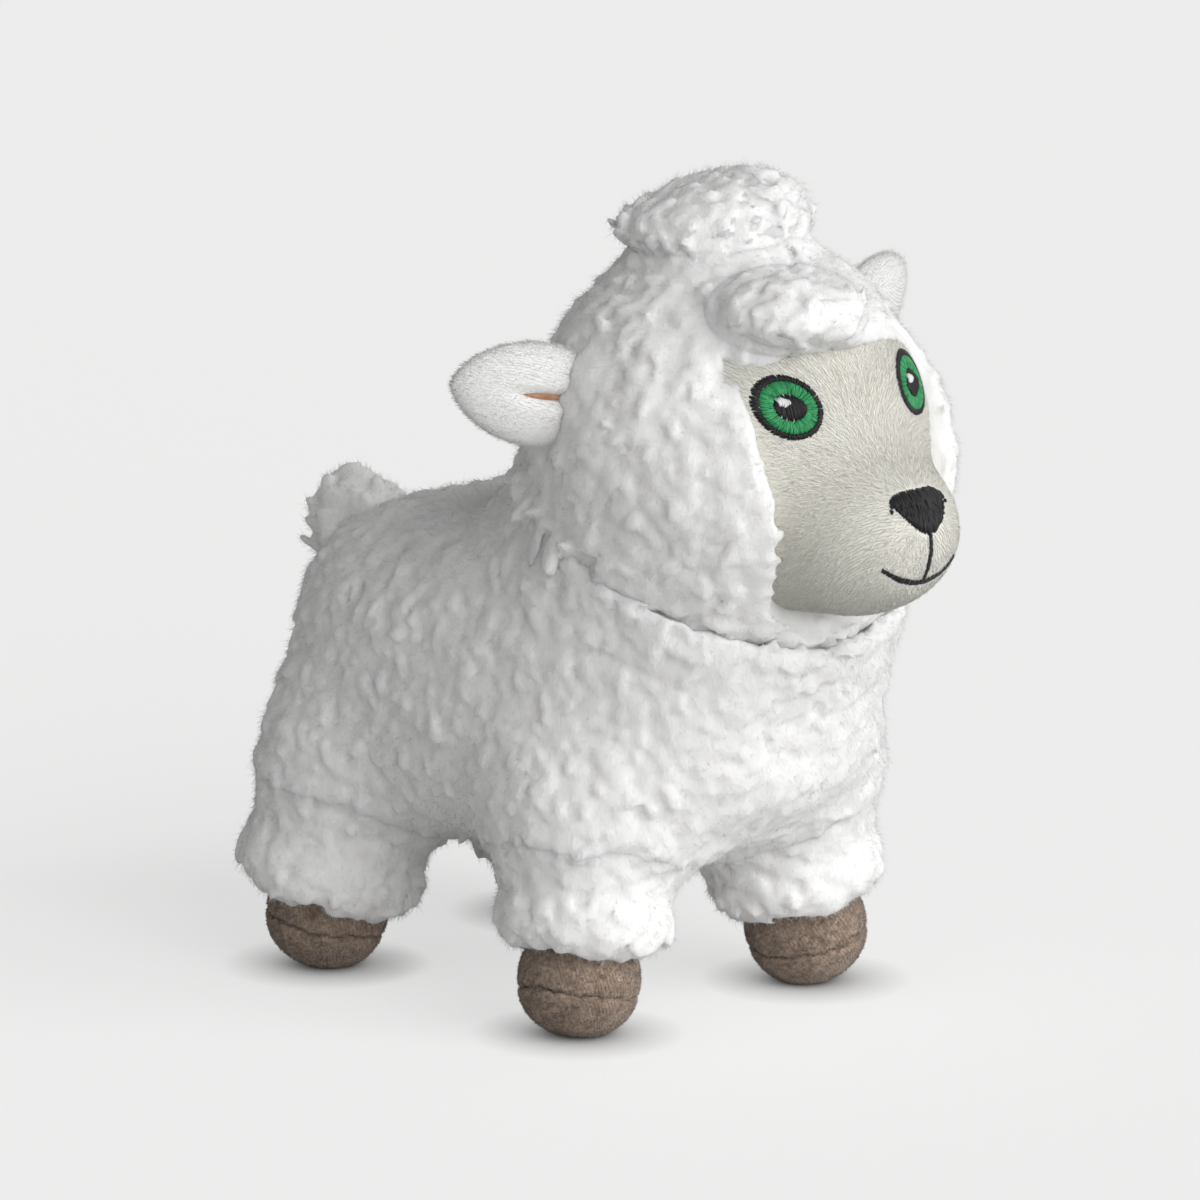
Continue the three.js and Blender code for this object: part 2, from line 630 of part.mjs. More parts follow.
function topknot() {
  const group = new THREE.Group();
  group.name = "topknot_root";
  group.position.copy(topknotRoot);
  const root = solid(rolledRoot(TOPKNOT_ROOT_DIAMETER, TOPKNOT_ROOT_LENGTH).rotateZ(Math.PI / 2));
  const tuft = ellipsoid(TOPKNOT_WIDTH, TOPKNOT_LENGTH, TOPKNOT_HEIGHT, vec(0, 0, TOPKNOT_ABOVE));
  const seats = [-TOPKNOT_LEAN, 0, TOPKNOT_LEAN].map((lean) =>
    hoodRoom.translate(topknotRoot.clone().negate().toArray()).rotate([lean, 0, 0]),
  );
  const seated = seats.reduce((left, seat) => left.subtract(seat), tuft);
  group.add(piece("topknot_fleece", root.add(seated), FLEECE));
  return group;
}

function eye(side, threads) {
  const name = side > 0 ? "left_eye" : "right_eye";
  const across = (side * EYE_SPACING) / 2;
  const round = (diameter) => faceCut(oval(diameter, diameter), across, EYE_ABOVE);
  const irisDiameter = EYE_DIAMETER - 2 * EYE_RIM;
  const glint = (diameter) =>
    faceCut(oval(diameter, diameter), across - GLINT_OFFSET, EYE_ABOVE + GLINT_OFFSET, 4);
  const rim = round(EYE_DIAMETER).subtract(round(irisDiameter));
  const iris = round(irisDiameter - 2 * SEAM_GAP).subtract(round(PUPIL_DIAMETER));
  const pupil = round(PUPIL_DIAMETER - 2 * SEAM_GAP).subtract(glint(GLINT_DIAMETER + 2 * SEAM_GAP));
  return [
    piece(name + "_rim", rim.intersect(threads), BLACK_THREAD),
    piece(name + "_iris", iris.intersect(threads), GREEN_THREAD),
    piece(name + "_pupil", pupil.intersect(threads), BLACK_THREAD),
    piece(name + "_glint", glint(GLINT_DIAMETER).intersect(threads), WHITE_THREAD),
  ];
}

// A plain rounded triangle, point down.
function noseOutline() {
  const wide = NOSE_WIDTH / 2;
  const high = NOSE_HEIGHT / 2;
  const shape = new THREE.Shape().moveTo(0, -high);
  shape.bezierCurveTo(-wide / 2, -high, -wide, 0, -wide, high / 2);
  shape.bezierCurveTo(-wide, high, -wide / 2, high, 0, high);
  shape.bezierCurveTo(wide / 2, high, wide, high, wide, high / 2);
  shape.bezierCurveTo(wide, 0, wide / 2, -high, 0, -high);
  return shape;
}

// A shallow even smile that hangs from a short stem below the nose.
function mouthSolid() {
  const half = MOUTH_WIDTH / 2;
  const thick = MOUTH_THREAD / 2;
  const smile = new THREE.Shape().moveTo(-half, thick);
  smile.quadraticCurveTo(0, thick - 2 * MOUTH_DEPTH, half, thick);
  smile.lineTo(half, -thick);
  smile.quadraticCurveTo(0, -thick - 2 * MOUTH_DEPTH, -half, -thick);
  const top = MOUTH_BELOW - NOSE_BELOW - NOSE_HEIGHT / 2 - SEAM_GAP;
  const stem = new THREE.Shape().moveTo(-thick, top);
  stem.lineTo(-thick, -MOUTH_DEPTH);
  stem.lineTo(thick, -MOUTH_DEPTH);
  stem.lineTo(thick, top);
  return faceCut(smile, 0, -MOUTH_BELOW).add(faceCut(stem, 0, -MOUTH_BELOW));
}

function head() {
  const far = HOOD_DIAMETER + MUZZLE_LENGTH;
  const centreLine = SEAM_GAP / 2;
  const middle = headCentre.toArray();
  const leftSide = block(vec(centreLine, -far, -far), vec(far, far, far)).translate(middle);
  const rightSide = block(vec(-far, -far, -far), vec(-centreLine, far, far)).translate(middle);
  const core = headForm(-FACE_PLUSH);
  const coreRoom = headForm(SEAM_GAP - FACE_PLUSH);
  const window = faceCut(faceOutline(0), 0, -FACE_BELOW, WINDOW_SEGMENTS);
  const windowRoom = faceCut(faceOutline(SEAM_GAP), 0, -FACE_BELOW, WINDOW_SEGMENTS);
  const neckRadius = HOOD_NECK_DIAMETER / 2;
  const neckHole = new THREE.CylinderGeometry(neckRadius, neckRadius, HOOD_DIAMETER, ROUND);
  neckHole.rotateX(Math.PI / 2).translate(0, 0, -hoodRadius);
  const cuts = [coreRoom, windowRoom, onNeck(neckHole), topknotRootRoom];
  const rooms = [...cuts, ...ears.map((part) => part.userData.room)];
  const whole = ball(HOOD_DIAMETER, headCentre, HEAD_AROUND, HEAD_ALONG);
  const wholeRoom = ball(HOOD_DIAMETER + 2 * SEAM_GAP, headCentre, HEAD_AROUND, HEAD_ALONG);
  const hood = rooms.reduce((left, room) => left.subtract(room), whole);
  const face = headForm(0).subtract(coreRoom).intersect(window);
  const forelockWay = vec(0, -Math.cos(deg(FORELOCK_RISE)), Math.sin(deg(FORELOCK_RISE)));
  const forelock = ellipsoid(
    FORELOCK_WIDTH, FORELOCK_LENGTH, FORELOCK_HEIGHT,
    headCentre.clone().addScaledVector(forelockWay, hoodRadius - FORELOCK_SUNK).add(vec(-FORELOCK_ASIDE, 0, 0)));
  const threads = headForm(SEAM_GAP + THREAD_HEIGHT).subtract(headForm(SEAM_GAP));
  const nose = faceCut(noseOutline(), 0, -NOSE_BELOW);
  const group = new THREE.Group();
  group.add(
    piece("hood_left_fleece", hood.intersect(leftSide), FLEECE),
    piece("hood_right_fleece", hood.intersect(rightSide), FLEECE),
    piece("face_plush", face, FACE),
    piece("head_stuffing", core, FILL),
    piece("forelock_fleece", forelock.subtract(wholeRoom).subtract(headForm(SEAM_GAP)), FLEECE),
    piece("nose_embroidery", nose.intersect(threads), BLACK_THREAD),
    piece("mouth_embroidery", mouthSolid().intersect(threads), BLACK_THREAD),
    ...[-1, 1].flatMap((side) => eye(side, threads)),
    topknot(),
    ...ears,
  );
  return group;
}

const lamb = new THREE.Group();
lamb.add(body(), tail(), head(), ...legs);
const box = new THREE.Box3().setFromObject(lamb, true);
lamb.position.y = -(box.min.y + box.max.y) / 2;

export default lamb;
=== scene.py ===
import json

import bpy
import numpy as np
from mathutils import Matrix, Vector


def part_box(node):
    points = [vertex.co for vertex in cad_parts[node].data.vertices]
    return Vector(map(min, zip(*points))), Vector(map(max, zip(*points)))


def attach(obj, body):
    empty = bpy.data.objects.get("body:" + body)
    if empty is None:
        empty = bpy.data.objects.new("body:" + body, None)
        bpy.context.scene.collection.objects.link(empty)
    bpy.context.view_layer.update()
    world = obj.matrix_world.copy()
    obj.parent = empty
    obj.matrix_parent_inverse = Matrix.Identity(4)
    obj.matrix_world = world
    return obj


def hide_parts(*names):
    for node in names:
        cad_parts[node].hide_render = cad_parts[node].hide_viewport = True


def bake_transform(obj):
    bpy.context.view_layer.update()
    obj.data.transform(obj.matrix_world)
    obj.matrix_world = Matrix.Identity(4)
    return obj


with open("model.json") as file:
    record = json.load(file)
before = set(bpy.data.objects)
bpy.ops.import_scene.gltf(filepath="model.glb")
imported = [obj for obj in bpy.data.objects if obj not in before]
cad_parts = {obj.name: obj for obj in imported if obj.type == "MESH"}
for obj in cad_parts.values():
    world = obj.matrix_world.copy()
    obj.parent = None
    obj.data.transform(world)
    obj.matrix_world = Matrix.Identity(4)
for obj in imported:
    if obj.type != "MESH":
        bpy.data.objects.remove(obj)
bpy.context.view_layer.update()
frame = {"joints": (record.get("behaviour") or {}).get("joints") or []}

# Body and legs
# A plump cushion of white sherpa fleece, sewn from two sides and a belly, on four sleeves of the same fleece
# that are sewn in at the hips and hemmed as ragged cuffs over the hooves. Shells of soft clumps lie under
# locks like shingles, and one skin over all of them is cut into the body's cover and the legs'.
MM = 0.001  # a millimetre in metres; all sizes below are in millimetres
FLEECE_INSET = 2.0  # of a cover's shell inside its outline, which the locks reach
BODY_HALF = np.array([51.0, 73.0, 42.0])
BODY_FORWARD = 5.0  # of its middle, from the middle of the hips
BODY_ABOVE = 32.0  # of its middle, over the front hips
BODY_FULLNESS = 2.6  # 2 is an ellipsoid, more is squarer
BODY_CELL = 1.2
BODY_LOCK_SPACING = 2.1
BODY_HANG = np.array([0, 0.25, -1.0])  # way in which its locks hang
BODY_STRAY = 0.5  # spread of their turn from it, in radians
BODY_LOCK = (4.8, 3.4, 1.05, 0.5)  # length, width, thickness and lift of the tip
BODY_CLUMPS = ((10.0, 1.0), (4.6, 0.5))  # size and height
HOOD_ROOM = 0.2  # between the hood's ball and its seat in the body
SEAT_MARGIN = 0.8
RIM_SOFTNESS = 2.5
THIGH_HALF = np.array([18.0, 18.0, 18.0])
THIGH_RAISED = 6.0  # of a thigh's middle, over the hip's
HIND_SHIFT = 0.8  # of a hind thigh outwards and backwards, and in its radius
SEAM_FILL = 18.0  # how far off the crease at the hip the stuffing rounds it out
BODY_SPAN = 120.0  # further from the middle than any of the body
THIGH_SWELL = 5.5
THIGH_REACH = 15.0
THIGH_OUT = 15.0  # from the hip's middle to the fullest part of the flank above it
THIGH_UP = 8.0
COLLAR_SWELL = 3.0
COLLAR_REACH = 15.0
COLLAR_FILL = 27.0  # how far off the crease under the hood the stuffing rounds it out
CHEST_SWELL = 1.0
BELLY_SWELL = 2.5
RUMP_SLOPE = 21.0


def box_of(*nodes):
    """Lowest and highest corners of a group of CAD nodes, in millimetres."""
    corners = np.array([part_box(node) for node in nodes]) / MM
    return corners[:, 0].min(axis=0), corners[:, 1].max(axis=0)


def joint_of(name):
    """Place and axis of a joint, in millimetres."""
    joint = next(joint for joint in frame["joints"] if joint["name"] == name)
    return np.array(joint["pos_m"]) / MM, np.array(joint["axis"], float)


def unit(vectors):
    """Each vector divided by its own length."""
    return vectors / np.maximum(np.linalg.norm(vectors, axis=-1, keepdims=True), 1e-9)


CELL_MIX = (73856093, 19349663, 83492791)  # large numbers that scramble small ones
CHANNEL_MIX, FIRST_MIX, SECOND_MIX = 668265263, 1274126177, 2246822519


def cell_random(cells, channel):
    """A repeatable number from 0 to 1 for each cell: its three whole numbers, mixed and scrambled."""
    whole = cells.astype(np.int64)
    mixed = whole[..., 0] * CELL_MIX[0] ^ whole[..., 1] * CELL_MIX[1] ^ whole[..., 2] * CELL_MIX[2]
    mixed = (mixed + channel * CHANNEL_MIX) * FIRST_MIX
    mixed = (mixed ^ (mixed >> 15)) * SECOND_MIX
    return ((mixed ^ (mixed >> 13)) & 65535) / 65535


def soft_noise(points, size, channel=0):
    """Smooth noise from -1 to 1: a random number at each corner of a lattice, blended by smooth steps."""
    scaled = points / size
    cell = np.floor(scaled)
    part = scaled - cell
    part = part * part * (3 - 2 * part)
    total = np.zeros(points.shape[:-1])
    for corner in np.ndindex(2, 2, 2):
        weight = np.prod(np.where(corner, part, 1 - part), axis=-1)
        total += weight * cell_random(cell + corner, channel)
    return 2 * total - 1


CLUMP_SHAKE = 0.35


def clump_height(points, size):
    """Round clumps, 1 at the middle and 0 at the creases: one less the squared distance to the nearest of
    the seeds that lie one to a cell, with the points shaken by noise so that no two clumps are alike."""
    shake = np.stack([soft_noise(points, size, channel) for channel in (5, 6, 7)], axis=-1)
    scaled = (points + CLUMP_SHAKE * size * shake) / size
    cell = np.floor(scaled)
    nearest = np.full(points.shape[:-1], 9.0)
    for step in np.ndindex(3, 3, 3):
        near = cell + np.array(step) - 1
        seed = near + np.stack([cell_random(near, channel) for channel in (1, 2, 3)], axis=-1)
        nearest = np.minimum(nearest, np.sum((scaled - seed) ** 2, axis=-1))
    return np.clip(1 - nearest, 0, 1)


def across(axis):
    """Two unit vectors square to an axis and to each other."""
    axis = unit(np.array(axis, float))
    other = np.array([1.0, 0, 0]) if abs(axis[0]) < 0.8 else np.array([0, 0, 1.0])
    first = unit(np.cross(axis, other))
    return first, np.cross(axis, first)


def directions_about(axis, rings, sides):
    """Unit directions on rings from one pole of an axis to the other, both poles left out."""
    first, second = across(axis)
    tilt = (np.pi * (np.arange(rings) + 0.5) / rings)[:, None, None]
    turn = (2 * np.pi * np.arange(sides) / sides)[None, :, None]
    flat = first * np.cos(turn) + second * np.sin(turn)
    return np.cos(tilt) * unit(np.array(axis, float)) + np.sin(tilt) * flat


def grid_normals(grid):
    """Outward unit normals of rings of points: the cross product of the steps along and around."""
    along = np.gradient(grid, axis=0)
    around = np.roll(grid, -1, axis=1) - np.roll(grid, 1, axis=1)
    normals = unit(np.cross(around, along))
    facing = np.sum(normals * (grid - grid.mean(axis=(0, 1))))
    return normals * np.sign(facing)


def outward(vertices, triangles):
    """Triangles turned round where the volume that they enclose comes out negative."""
    corners = vertices[triangles]
    volume = np.sum(corners[:, 0] * np.cross(corners[:, 1], corners[:, 2]))
    return triangles if volume > 0 else triangles[:, ::-1]


def tube_faces(rings, sides):
    """Triangles of rings of points joined in order, two to a cell, with a fan at each end to a pole point.
    The points are counted ring by ring, then the first pole and the last."""
    ring, side = np.meshgrid(np.arange(rings - 1), np.arange(sides), indexing="ij")
    here, beside = ring * sides + side, ring * sides + (side + 1) % sides
    cells = [
        np.stack([here, beside, beside + sides], axis=-1),
        np.stack([here, beside + sides, here + sides], axis=-1),
    ]
    step = np.arange(sides)
    turn = (step + 1) % sides
    last = (rings - 1) * sides
    fans = [
        np.stack([np.full(sides, rings * sides), turn, step], axis=-1),
        np.stack([np.full(sides, rings * sides + 1), last + step, last + turn], axis=-1),
    ]
    return np.concatenate([cell.reshape(-1, 3) for cell in cells] + fans)


def closed_shell(grid, tip):
    """A part from rings of points: the rings closed by a point in the middle of the first and the last."""
    rings, sides = grid.shape[:2]
    poles = np.stack([grid[0].mean(axis=0), grid[-1].mean(axis=0)])
    vertices = np.concatenate([grid.reshape(-1, 3), poles])
    tips = np.concatenate([np.broadcast_to(tip, grid.shape[:2]).ravel(), [np.mean(tip), np.mean(tip)]])
    return vertices, outward(vertices, tube_faces(rings, sides)), tips


def between(values, ring, side):
    """A grid's values at places between its points, blended from the four nearest."""
    low, left = ring.astype(int), np.floor(side).astype(int)
    right = (left + 1) % values.shape[1]
    down, over = (ring - low)[:, None], (side - left)[:, None]
    upper = values[low, left] * (1 - over) + values[low, right] * over
    lower = values[low + 1, left] * (1 - over) + values[low + 1, right] * over
    return upper * (1 - down) + lower * down


GOLDEN_STEPS = (0.7548776662466927, 0.5698402909980532)  # shares whose multiples never fall into rows


def scatter(grid, normals, spacing):
    """Even spots on rings of points, one to a square of the spacing, and their normals. A golden-number
    sequence is spread along the rings by their area, and around them by angle."""
    wide = np.linalg.norm(np.roll(grid, -1, axis=1) - grid, axis=-1)
    tall = np.linalg.norm(np.gradient(grid, axis=0), axis=-1)
    ring_area = np.sum(wide * tall, axis=1)
    count = np.arange(int(ring_area.sum() / spacing**2))
    filled = np.concatenate([[0], np.cumsum(ring_area)]) / ring_area.sum()
    ring = np.interp((0.5 + count * GOLDEN_STEPS[0]) % 1, filled, np.arange(len(grid) + 1) - 0.5)
    side = (0.5 + count * GOLDEN_STEPS[1]) % 1 * grid.shape[1]
    ring = np.clip(ring, 0, len(grid) - 1.001)
    return between(grid, ring, side), unit(between(normals, ring, side))


LEAN_SHAKE = 0.05


def laid(normals, lean, stray, random):
    """Unit directions along a surface: the lean's share of it, turned about the normal by a random angle."""
    lean = np.broadcast_to(lean, normals.shape) + LEAN_SHAKE * random.normal(size=normals.shape)
    flow = unit(lean - normals * np.sum(lean * normals, axis=-1, keepdims=True))
    angle = stray * random.normal(size=(len(normals), 1))
    return flow * np.cos(angle) + np.cross(normals, flow) * np.sin(angle)


def repeated(shapes, faces, tips):
    """A part from many shapes of like points: the faces of one, turned outward and carried on to the rest."""
    count, size = shapes.shape[:2]
    faces = outward(shapes[0] - shapes[0].mean(axis=0), faces)
    triangles = (faces[None] + size * np.arange(count)[:, None, None]).reshape(-1, 3)
    return shapes.reshape(-1, 3), triangles, np.broadcast_to(tips, (count, size)).ravel()


SKIN_TIP = 0.8  # share of the tip's colour in a melted skin, the rest being the root's
LOCK_SPREAD = 0.28  # of sizes from lock to lock
LOCK_SIDES = 6
LOCK_SHARE = np.array([0.06, 0.36, 0.68, 0.90])  # of a lock's length, at each of its rings
LOCK_FULLNESS = np.array([0.5, 0.85, 1.0, 0.72])
LOCK_RISE = np.array([-0.2, 0.4, 0.8, 1.0])
LOCK_BEHIND = 0.4  # share of its length behind its spot
LOCK_BEND = 0.25
LOCK_UNEVEN = 0.4
LOCK_ROOT, LOCK_ROOT_SUNK = 0.42, 0.6
LOCK_TIP, LOCK_TIP_LIFT = 0.62, 1.05


def locks(spots, normals, flows, sizes, random):
    """Locks of fleece: flat lobes that start under the surface, swell over it along the flow and end in a
    lifted, blunt tip. Each is four uneven six-sided rings and two poles, of its own random size."""
    count, rows = len(spots), len(LOCK_SHARE)
    turn = 2 * np.pi * np.arange(LOCK_SIDES) / LOCK_SIDES
    length, width, thickness, lift = (
        (size * np.exp(LOCK_SPREAD * random.normal(size=count)))[:, None] for size in sizes
    )
    beside = np.cross(normals, flows)
    bend = LOCK_BEND * random.normal(size=(count, 1)) * width
    middle = spots[:, None] + flows[:, None] * (length * (LOCK_SHARE - LOCK_BEHIND))[..., None]
    middle = middle + normals[:, None] * (lift * LOCK_RISE)[..., None]
    middle = middle + beside[:, None] * (bend * LOCK_SHARE**2)[..., None]
    uneven = 1 + LOCK_UNEVEN * (random.random((count, rows, LOCK_SIDES)) - 0.5)
    wide = 0.5 * width[..., None] * LOCK_FULLNESS[:, None] * np.cos(turn) * uneven
    thick = 0.5 * thickness[..., None] * LOCK_FULLNESS[:, None] * np.sin(turn) * uneven
    rings = middle[:, :, None] + beside[:, None, None] * wide[..., None]
    rings = rings + normals[:, None, None] * thick[..., None]
    root = spots - flows * LOCK_ROOT * length - normals * LOCK_ROOT_SUNK * thickness
    tip = spots + flows * LOCK_TIP * length + normals * lift * LOCK_TIP_LIFT + beside * bend
    rings = rings.reshape(count, rows * LOCK_SIDES, 3)
    shapes = np.concatenate([rings, root[:, None], tip[:, None]], axis=1)
    return repeated(shapes, tube_faces(rows, LOCK_SIDES), SKIN_TIP)


NAP_SPREAD = 0.3
# Tip values at a fibre's root and its end: the lower value at the root is painted shade deep in the pile
NAP_ROOT_SHADE_TIPS = [0.5, 0.5, 0.5, 0.9]  # at a fibre's root and its end


def nap_fibres(spots, directions, length, thickness, random):
    """Short pile: straight three-sided spikes, closed at the root."""
    count = len(spots)
    length = length * np.exp(NAP_SPREAD * random.normal(size=(count, 1)))
    first = unit(np.cross(directions, random.normal(size=spots.shape)))
    second = np.cross(directions, first)
    turn = (2 * np.pi * np.arange(3) / 3)[:, None]
    around = first[:, None] * np.cos(turn) + second[:, None] * np.sin(turn)
    root = spots[:, None] + around * 0.5 * thickness
    shapes = np.concatenate([root, (spots + directions * length)[:, None]], axis=1)
    return repeated(shapes, np.array([[0, 1, 3], [1, 2, 3], [2, 0, 3], [2, 1, 0]]), NAP_ROOT_SHADE_TIPS)


def new_mesh(name, parts):
    """One mesh from parts, each of points in millimetres, triangles and a tip value for each point."""
    starts = np.cumsum([0] + [len(part[0]) for part in parts[:-1]])
    vertices = np.concatenate([part[0] for part in parts]) * MM
    triangles = np.concatenate([part[1] + start for part, start in zip(parts, starts)])
    tips = np.concatenate([part[2] for part in parts])
    mesh = bpy.data.meshes.new(name)
    mesh.vertices.add(len(vertices))
    mesh.vertices.foreach_set("co", vertices.astype(np.float32).ravel())
    mesh.loops.add(triangles.size)
    mesh.loops.foreach_set("vertex_index", triangles.astype(np.int32).ravel())
    mesh.polygons.add(len(triangles))
    mesh.polygons.foreach_set("loop_start", np.arange(0, triangles.size, 3, dtype=np.int32))
    mesh.update(calc_edges=True)
    mesh.shade_smooth()
    mesh.attributes.new("tip", "FLOAT", "POINT").data.foreach_set("value", tips.astype(np.float32))
    return mesh


MELT_CELL = 0.70  # of the skin that parts are melted into
MELT_ROUNDS = 4
MELT_EASE = 0.5


def melted(parts):
    """Parts melted into one closed skin: remade in small cells, then eased by rounds of smoothing."""
    blank = bpy.data.objects.new("melting", new_mesh("melting", parts))
    bpy.context.scene.collection.objects.link(blank)
    remesh = blank.modifiers.new("melt", "REMESH")
    remesh.mode = "VOXEL"
    remesh.voxel_size = MELT_CELL * MM
    ease = blank.modifiers.new("ease", "SMOOTH")
    ease.factor = MELT_EASE
    ease.iterations = MELT_ROUNDS
    skin = bpy.data.meshes.new_from_object(blank.evaluated_get(bpy.context.evaluated_depsgraph_get()))
    skin.calc_loop_triangles()
    vertices = np.empty(3 * len(skin.vertices), np.float32)
    skin.vertices.foreach_get("co", vertices)
    triangles = np.empty(3 * len(skin.loop_triangles), np.int32)
    skin.loop_triangles.foreach_get("vertices", triangles)
    bpy.data.meshes.remove(skin)
    bpy.data.meshes.remove(blank.data)
    vertices = vertices.reshape(-1, 3).astype(float) / MM
    return vertices, triangles.reshape(-1, 3), np.full(len(vertices), SKIN_TIP)


FAR = 1000.0  # beyond anything here


def before_ball(origin, directions, middle, radius):
    """How far a ray goes before it meets a ball, or a long way where it misses."""
    offset = middle - origin
    along = directions @ offset
    depth = along**2 - offset @ offset + radius**2
    return np.where((depth > 0) & (along > 0), along - np.sqrt(np.maximum(depth, 0)), FAR)


def add_piece(name, parts, material, body, nodes):
    """A piece made of parts. It stands for CAD nodes, and rides on a body unless that is left to a blend."""
    mesh = new_mesh(name, parts)
    mesh.materials.append(material)
    piece = bpy.data.objects.new(name, mesh)
    bpy.context.scene.collection.objects.link(piece)
    if body:
        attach(piece, body)
    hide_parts(*nodes)
    return piece


MOTTLE_DETAIL = 4.0
MOTTLE_ROUGHNESS = 0.65


def mottle_group():
    """Shader group: soft mottling of fibre on Object coordinates. It puts out a tone for colours and a
    height for a bump, both from 0 to 1, from a coarse noise and a fine one of the given size in metres,
    drawn out into streaks where the stretch is less than one."""
    group = bpy.data.node_groups.new("fibre_mottle", "ShaderNodeTree")
    for name, kind in (("Coarse", "Float"), ("Fine", "Float"), ("Stretch", "Vector")):
        group.interface.new_socket(name, in_out="INPUT", socket_type=f"NodeSocket{kind}")
    for name in ("Tone", "Height"):
        group.interface.new_socket(name, in_out="OUTPUT", socket_type="NodeSocketFloat")
    nodes, links = group.nodes, group.links
    given = nodes.new("NodeGroupInput")
    result = nodes.new("NodeGroupOutput")
    place = nodes.new("ShaderNodeTexCoord")
    stretched = nodes.new("ShaderNodeVectorMath")
    stretched.operation = "MULTIPLY"
    links.new(place.outputs["Object"], stretched.inputs[0])
    links.new(given.outputs["Stretch"], stretched.inputs[1])
    sums = nodes.new("ShaderNodeMath")
    sums.operation = "ADD"
    half = nodes.new("ShaderNodeMath")
    half.operation = "MULTIPLY"
    half.inputs[1].default_value = 0.5
    for index, name in enumerate(("Coarse", "Fine")):
        scale = nodes.new("ShaderNodeMath")
        scale.operation = "DIVIDE"
        scale.inputs[0].default_value = 1.0
        links.new(given.outputs[name], scale.inputs[1])
        noise = nodes.new("ShaderNodeTexNoise")
        noise.inputs["Detail"].default_value = MOTTLE_DETAIL
        noise.inputs["Roughness"].default_value = MOTTLE_ROUGHNESS
        links.new(stretched.outputs["Vector"], noise.inputs["Vector"])
        links.new(scale.outputs[0], noise.inputs["Scale"])
        links.new(noise.outputs["Fac"], sums.inputs[index])
        if name == "Fine":
            links.new(noise.outputs["Fac"], result.inputs["Height"])
    links.new(sums.outputs[0], half.inputs[0])
    links.new(half.outputs[0], result.inputs["Tone"])
    return group


fibre_mottle = mottle_group()
MOTTLE_SPAN = (0.3, 0.7)  # within which most of its tone lies
BUMP_STRENGTH = 0.6
SHEEN_ROUGHNESS = 0.5
SOFT_RADIUS = (1.0, 0.95, 0.9)  # of light inside the fibres, for red, green and blue
SOFT_SCALE = 0.006


def pile_material(
    name, root, tip, coarse, fine, contrast, bump, sheen=0.0, soft=0.0, gloss=0.1, roughness=0.95, streak=1.0,
):
    """A fibrous finish: colour from root to tip by the tip attribute, lighter and darker by the mottling's
    contrast, a bump of that depth in metres, and even sheen and subsurface shares."""
    material = bpy.data.materials.new(name)
    material.use_nodes = True
    nodes, links = material.node_tree.nodes, material.node_tree.links
    shader = nodes["Principled BSDF"]
    shader.inputs["Roughness"].default_value = roughness
    shader.inputs["Specular IOR Level"].default_value = gloss
    shader.inputs["Sheen Weight"].default_value = sheen
    shader.inputs["Sheen Roughness"].default_value = SHEEN_ROUGHNESS
    shader.inputs["Subsurface Weight"].default_value = soft
    shader.inputs["Subsurface Radius"].default_value = SOFT_RADIUS
    shader.inputs["Subsurface Scale"].default_value = SOFT_SCALE
    mottle = nodes.new("ShaderNodeGroup")
    mottle.node_tree = fibre_mottle
    mottle.inputs["Coarse"].default_value = coarse
    mottle.inputs["Fine"].default_value = fine
    mottle.inputs["Stretch"].default_value = (1, 1, streak)
    # The tip attribute picks the colour: on pile, the darker root colour at low values is painted shade at
    # the fibres' roots; on suede, lining and thread it is tone that differs at random
    depth = nodes.new("ShaderNodeAttribute")
    depth.attribute_name = "tip"
    blend = nodes.new("ShaderNodeMix")
    blend.data_type = "RGBA"
    blend.inputs["A"].default_value = (*root, 1)
    blend.inputs["B"].default_value = (*tip, 1)
    links.new(depth.outputs["Fac"], blend.inputs["Factor"])
    level = nodes.new("ShaderNodeMapRange")
    level.inputs["From Min"].default_value = MOTTLE_SPAN[0]
    level.inputs["From Max"].default_value = MOTTLE_SPAN[1]
    level.inputs["To Min"].default_value = 1 - contrast
    level.inputs["To Max"].default_value = 1 + 0.5 * contrast
    links.new(mottle.outputs["Tone"], level.inputs["Value"])
    toned = nodes.new("ShaderNodeVectorMath")
    toned.operation = "SCALE"
    links.new(blend.outputs["Result"], toned.inputs[0])
    links.new(level.outputs["Result"], toned.inputs["Scale"])
    links.new(toned.outputs["Vector"], shader.inputs["Base Color"])
    ripple = nodes.new("ShaderNodeBump")
    ripple.inputs["Strength"].default_value = BUMP_STRENGTH
    ripple.inputs["Distance"].default_value = bump
    links.new(mottle.outputs["Height"], ripple.inputs["Height"])
    links.new(ripple.outputs["Normal"], shader.inputs["Normal"])
    return material


# Fleece colours: the darker root colour is painted shade deep in the pile, shown at the roots of the fuzz
# fibres
FLEECE_ROOT_PAINTED_SHADE = (0.84, 0.835, 0.82)
FLEECE_TIP = (0.93, 0.927, 0.918)
fleece = pile_material(
    "white_fleece", FLEECE_ROOT_PAINTED_SHADE, FLEECE_TIP, coarse=0.012, fine=0.0006, contrast=0.03, bump=0.0004, sheen=0.1,
    soft=0.6, gloss=0.05, streak=0.35,
)
head_middle = joint_of("head_nod")[0]
hood_low, hood_high = box_of("hood_left_fleece", "hood_right_fleece")
hood_radius = (hood_high[0] - hood_low[0]) / 2
leg_names = [f"{end}_{side}" for end in ("front", "hind") for side in ("left", "right")]
hips = {name: joint_of(f"{name}_leg_swing")[0] for name in leg_names}
hip_middle = np.mean(list(hips.values()), axis=0)
body_middle = np.array([0, hip_middle[1] - BODY_FORWARD, hips["front_left"][2] + BODY_ABOVE])


def soft_union(first, second, softness):
    """The lesser of two distances, and less by a quarter of the softness where they are alike."""
    near = np.maximum(softness - np.abs(first - second), 0) / softness
    return np.minimum(first, second) - near**2 * softness / 4


